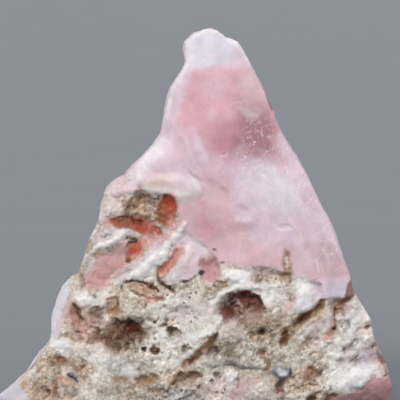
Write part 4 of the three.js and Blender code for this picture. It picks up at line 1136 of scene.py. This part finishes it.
def thin_out(stone, triangles):
    """Joins small faces of the flanks, the back and the base, and leaves the face as it is."""
    x, y, z = points_of(stone.data)
    behind = np.nonzero(y - face_at(x, z) > FACE_SKIN)[0]
    stone.vertex_groups.new(name="behind").add(behind.tolist(), 1, "REPLACE")
    fewer = stone.modifiers.new("fewer", "DECIMATE")
    fewer.vertex_group = "behind"
    fewer.ratio = MOST_TRIANGLES / triangles
    seen = stone.evaluated_get(bpy.context.evaluated_depsgraph_get())
    stone.data = bpy.data.meshes.new_from_object(seen)
    stone.modifiers.clear()
    stone.vertex_groups.clear()


def points_of(mesh):
    """The mesh's points as x, y and z in millimetres, with y as the face and the outline are drawn."""
    points = np.empty(3 * len(mesh.vertices))
    mesh.vertices.foreach_get("co", points)
    x, y, z = points.reshape(-1, 3).T / MM
    return x, y + MIDDLE_SHIFT, z


def paint(stone):
    """Writes the pigments' shares, the grain, the painted glints and the pores as attributes of the mesh's
    points.
    """
    x, y, z = points_of(stone.data)
    depth = (y - face_at(x, z)) * (1 + 1.2 * lumps(x, y, z, 5) + 0.8 * lumps(x, y, z, 1.6))
    front = 1 - smooth_step(*FACE_END, depth)
    shares = face_pigments(x, z)
    crust = smooth_step(0.2, 0.5, crumbliness(shares))
    crust = crust * (1 - smooth_step(*CRUST_END, depth + 4 * lumps(x, y, z, 9)))
    shares = front * shares + (1 - front) * flank_pigments(x, y, z, depth, crust)
    for name, share in zip(NAMES, shares):
        write(stone.data, name, share)
    write(stone.data, "grain", crumbliness(shares))
    for name, places in (("painted_glint", PAINTED_GLINTS), ("pore", PORES)):
        amount = np.zeros_like(x)
        for at, half, turn, most in places:
            amount = np.maximum(amount, most * (1 - smooth_step(0.4, 1.1, reach(x, z, at, half, turn))))
        write(stone.data, name, front * amount)


def write(mesh, name, values):
    attribute = mesh.attributes.new(name, "FLOAT", "POINT")
    attribute.data.foreach_set("value", np.ascontiguousarray(values, np.float32))


# Materials.
def linear(colour):
    """An sRGB colour from 0 to 255 as linear red, green, blue and full alpha."""
    parts = [c / 255 for c in colour]
    return [c / 12.92 if c <= 0.04045 else ((c + 0.055) / 1.055) ** 2.4 for c in parts] + [1]


class Nodes:
    """Adds nodes to a material, with each input a value or another node's output."""

    def __init__(self, name):
        self.material = bpy.data.materials.new(name)
        self.material.use_nodes = True
        self.tree = self.material.node_tree
        self.tree.nodes.clear()

    def add(self, kind, inputs=(), output=0, **settings):
        node = self.tree.nodes.new(kind)
        for name, value in settings.items():
            setattr(node, name, value)
        for key, value in dict(inputs).items():
            if isinstance(value, bpy.types.NodeSocket):
                self.tree.links.new(value, node.inputs[key])
            else:
                node.inputs[key].default_value = value
        return node.outputs[output] if node.outputs else node

    def attribute(self, name):
        return self.add("ShaderNodeAttribute", output="Fac", attribute_name=name)

    def maths(self, operation, a, b, c=0.0):
        return self.add("ShaderNodeMath", {0: a, 1: b, 2: c}, operation=operation)

    def times(self, a, b):
        return self.maths("MULTIPLY", a, b)

    def between(self, value, low, high, out_low=0.0, out_high=1.0):
        """A value of low or less becomes out_low, and one of high or more out_high."""
        inputs = {"Value": value, "From Min": low, "From Max": high, "To Min": out_low, "To Max": out_high}
        return self.add("ShaderNodeMapRange", inputs, interpolation_type="SMOOTHSTEP")

    def noise(self, size, detail, roughness):
        """Noise between 0 and 1 in lumps of the given size in millimetres."""
        place = self.add("ShaderNodeTexCoord", output="Object")
        inputs = {"Vector": place, "Scale": 1 / (size * MM), "Detail": detail, "Roughness": roughness}
        return self.add("ShaderNodeTexNoise", inputs, output="Fac")

    def crumbs(self, size, output, feature="F1"):
        """Cells of about the given size in millimetres, with edges that wander."""
        place = self.add("ShaderNodeTexCoord", output="Object")
        inputs = {"Vector": place, "Scale": 1 / (0.6 * size * MM), "Detail": 1}
        shake = self.add("ShaderNodeTexNoise", inputs, output="Color")
        inputs = {0: shake, 1: (0.5 * size * MM,) * 3, 2: place}
        place = self.add("ShaderNodeVectorMath", inputs, operation="MULTIPLY_ADD")
        inputs = {"Vector": place, "Scale": 1 / (size * MM)}
        return self.add("ShaderNodeTexVoronoi", inputs, output=output, feature=feature)

    def mix(self, share, a, b):
        """One colour turned into another by a share."""
        return self.add("ShaderNodeMix", {0: share, 6: a, 7: b}, output=2, data_type="RGBA")

    def blend(self, share, a, b):
        """One number turned into another by a share."""
        return self.add("ShaderNodeMix", {0: share, 2: a, 3: b}, data_type="FLOAT")

    def scaled(self, colour, amount):
        return self.add("ShaderNodeVectorMath", {0: colour, 1: amount}, operation="MULTIPLY")

    def surface(self, inputs):
        """Ends the material with a shader."""
        shader = self.add("ShaderNodeBsdfPrincipled", inputs)
        self.add("ShaderNodeOutputMaterial", {"Surface": shader})
        return self.material


def stone_material():
    """Pigments by their shares, then crumbs, gaps, pores and painted glints, on waxy opal or dull matrix."""
    n = Nodes("opal_stone")
    grain = n.attribute("grain")
    smooth = n.maths("SUBTRACT", 1.0, grain)

    # The pigments, each by its share.
    colour = (0, 0, 0)
    for name, (srgb, _) in PIGMENTS.items():
        inputs = {0: linear(srgb)[:3], 1: n.attribute(name), 2: colour}
        colour = n.add("ShaderNodeVectorMath", inputs, operation="MULTIPLY_ADD")

    # Crumbs in the matrix, each a little lighter or darker, with stained gaps between them.
    tone = n.between(n.crumbs(1, "Color"), 0, 1, 0.74, 1.2)
    tone = n.times(tone, n.between(n.noise(0.8, 3, 0.7), 0.32, 0.68, 0.64, 1.3))
    tone = n.times(tone, n.between(n.noise(2, 3, 0.6), 0.3, 0.7, 0.86, 1.12))
    cloud = n.between(n.noise(2.6, 5, 0.65), 0.3, 0.7, 0.93, 1.06)
    colour = n.scaled(colour, n.blend(grain, cloud, tone))
    gaps = n.between(n.crumbs(1.5, "Distance", "DISTANCE_TO_EDGE"), 0.02, 0.11, 1, 0)
    gaps = n.times(gaps, n.between(n.noise(3.2, 2, 0.5), 0.5, 0.62))
    gaps = n.times(gaps, n.times(grain, 0.6))
    colour = n.mix(gaps, colour, linear(GAP_COLOUR))

    # Pores, in some of the crumbs and only where the surface is crumbly.
    dots = n.between(n.crumbs(1.2, "Distance"), 0.22, 0.36, 1, 0)
    dots = n.times(dots, n.between(n.crumbs(1.2, "Color"), 0.56, 0.6))
    pores = n.times(n.times(dots, n.attribute("pore")), n.between(grain, 0.1, 0.5, 0, 0.95))
    colour = n.mix(pores, colour, linear(PORE_COLOUR))

    # Painted glints: small white flecks that stand in for light catching the surface, in groups.
    flecks = n.between(n.noise(0.65, 4, 0.7), 0.52, 0.61)
    flecks = n.times(flecks, n.between(n.noise(2, 2, 0.6), 0.42, 0.58))
    glints = n.times(flecks, n.times(n.attribute("painted_glint"), 0.62))
    colour = n.mix(glints, colour, linear(GLINT_COLOUR))

    # Gloss, fine relief and the light that waxy opal lets in.
    roughness = n.blend(grain, OPAL_ROUGHNESS, MATRIX_ROUGHNESS)
    roughness = n.maths("ADD", roughness, n.between(n.noise(2.2, 3, 0.6), 0.3, 0.7, -0.06, 0.08))
    relief = n.times(n.noise(0.5, 3, 0.7), n.maths("MULTIPLY_ADD", grain, 1.2, 0.1))
    relief = n.maths("SUBTRACT", relief, n.times(pores, 0.8))
    bump = n.add("ShaderNodeBump", {"Strength": 0.8, "Distance": BUMP_HEIGHT * MM, "Height": relief})
    scatter = n.maths("MULTIPLY_ADD", smooth, 0.4, 0.03)
    return n.surface({
        "Base Color": colour,
        "Roughness": roughness,
        "Normal": bump,
        "Subsurface Weight": scatter,
        "Subsurface Radius": SCATTER_RADIUS,
        "Subsurface Scale": SCATTER_SCALE * MM,
    })


def floor_material():
    """A dull material with hardly any cloudiness."""
    n = Nodes("floor")
    shade = n.between(n.noise(90, 3, 0.5), 0.3, 0.7, 0.99, 1.01)
    colour = n.scaled(linear(FLOOR_COLOUR)[:3], shade)
    return n.surface({"Base Color": colour, "Roughness": 0.95, "Specular IOR Level": 0.1})


# The studio.
def add_floor():
    bpy.ops.mesh.primitive_plane_add(size=FLOOR_SIZE, location=(0, 0, 0))
    floor = bpy.context.object
    floor.name = "floor"
    floor.data.materials.append(floor_material())


def add_light(name, azimuth, elevation, softness, strength):
    """A soft light from far away."""
    light = bpy.data.lights.new(name, "SUN")
    light.angle = math.radians(softness)
    light.energy = strength
    lamp = bpy.data.objects.new(name, light)
    round_z, up = math.radians(azimuth), math.radians(elevation)
    towards = Vector((math.sin(round_z) * math.cos(up), -math.cos(round_z) * math.cos(up), math.sin(up)))
    lamp.location = towards
    lamp.rotation_euler = towards.to_track_quat("Z", "Y").to_euler()
    bpy.context.scene.collection.objects.link(lamp)


def add_camera():
    """Looks straight at the face from a little above, with the photograph's framing."""
    aim = Vector((1.75, -16.9, 54)) * MM
    distance = 550 * MM
    half_frame = 50 * MM
    elevation = math.radians(6.5)
    camera = bpy.data.cameras.new("camera")
    camera.sensor_width = 36
    camera.lens = camera.sensor_width / 2 * distance / half_frame
    camera.clip_end = 100
    eye = bpy.data.objects.new("camera", camera)
    back = Vector((0, -math.cos(elevation), math.sin(elevation)))
    eye.location = aim + back * distance
    eye.rotation_euler = (-back).to_track_quat("-Z", "Y").to_euler()
    bpy.context.scene.collection.objects.link(eye)
    bpy.context.scene.camera = eye


def add_world():
    world = bpy.data.worlds.new("studio")
    world.use_nodes = True
    background = world.node_tree.nodes["Background"]
    background.inputs["Color"].default_value = linear(WORLD_COLOUR)
    background.inputs["Strength"].default_value = 1
    bpy.context.scene.world = world


stone = stone_object()
paint(stone)
stone.data.materials.append(stone_material())
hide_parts("pink_opal")
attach(stone, "root")

add_floor()
add_world()
add_camera()
for name, light in LIGHTS.items():
    add_light(name, *light)
bpy.context.scene.view_settings.view_transform = "Standard"
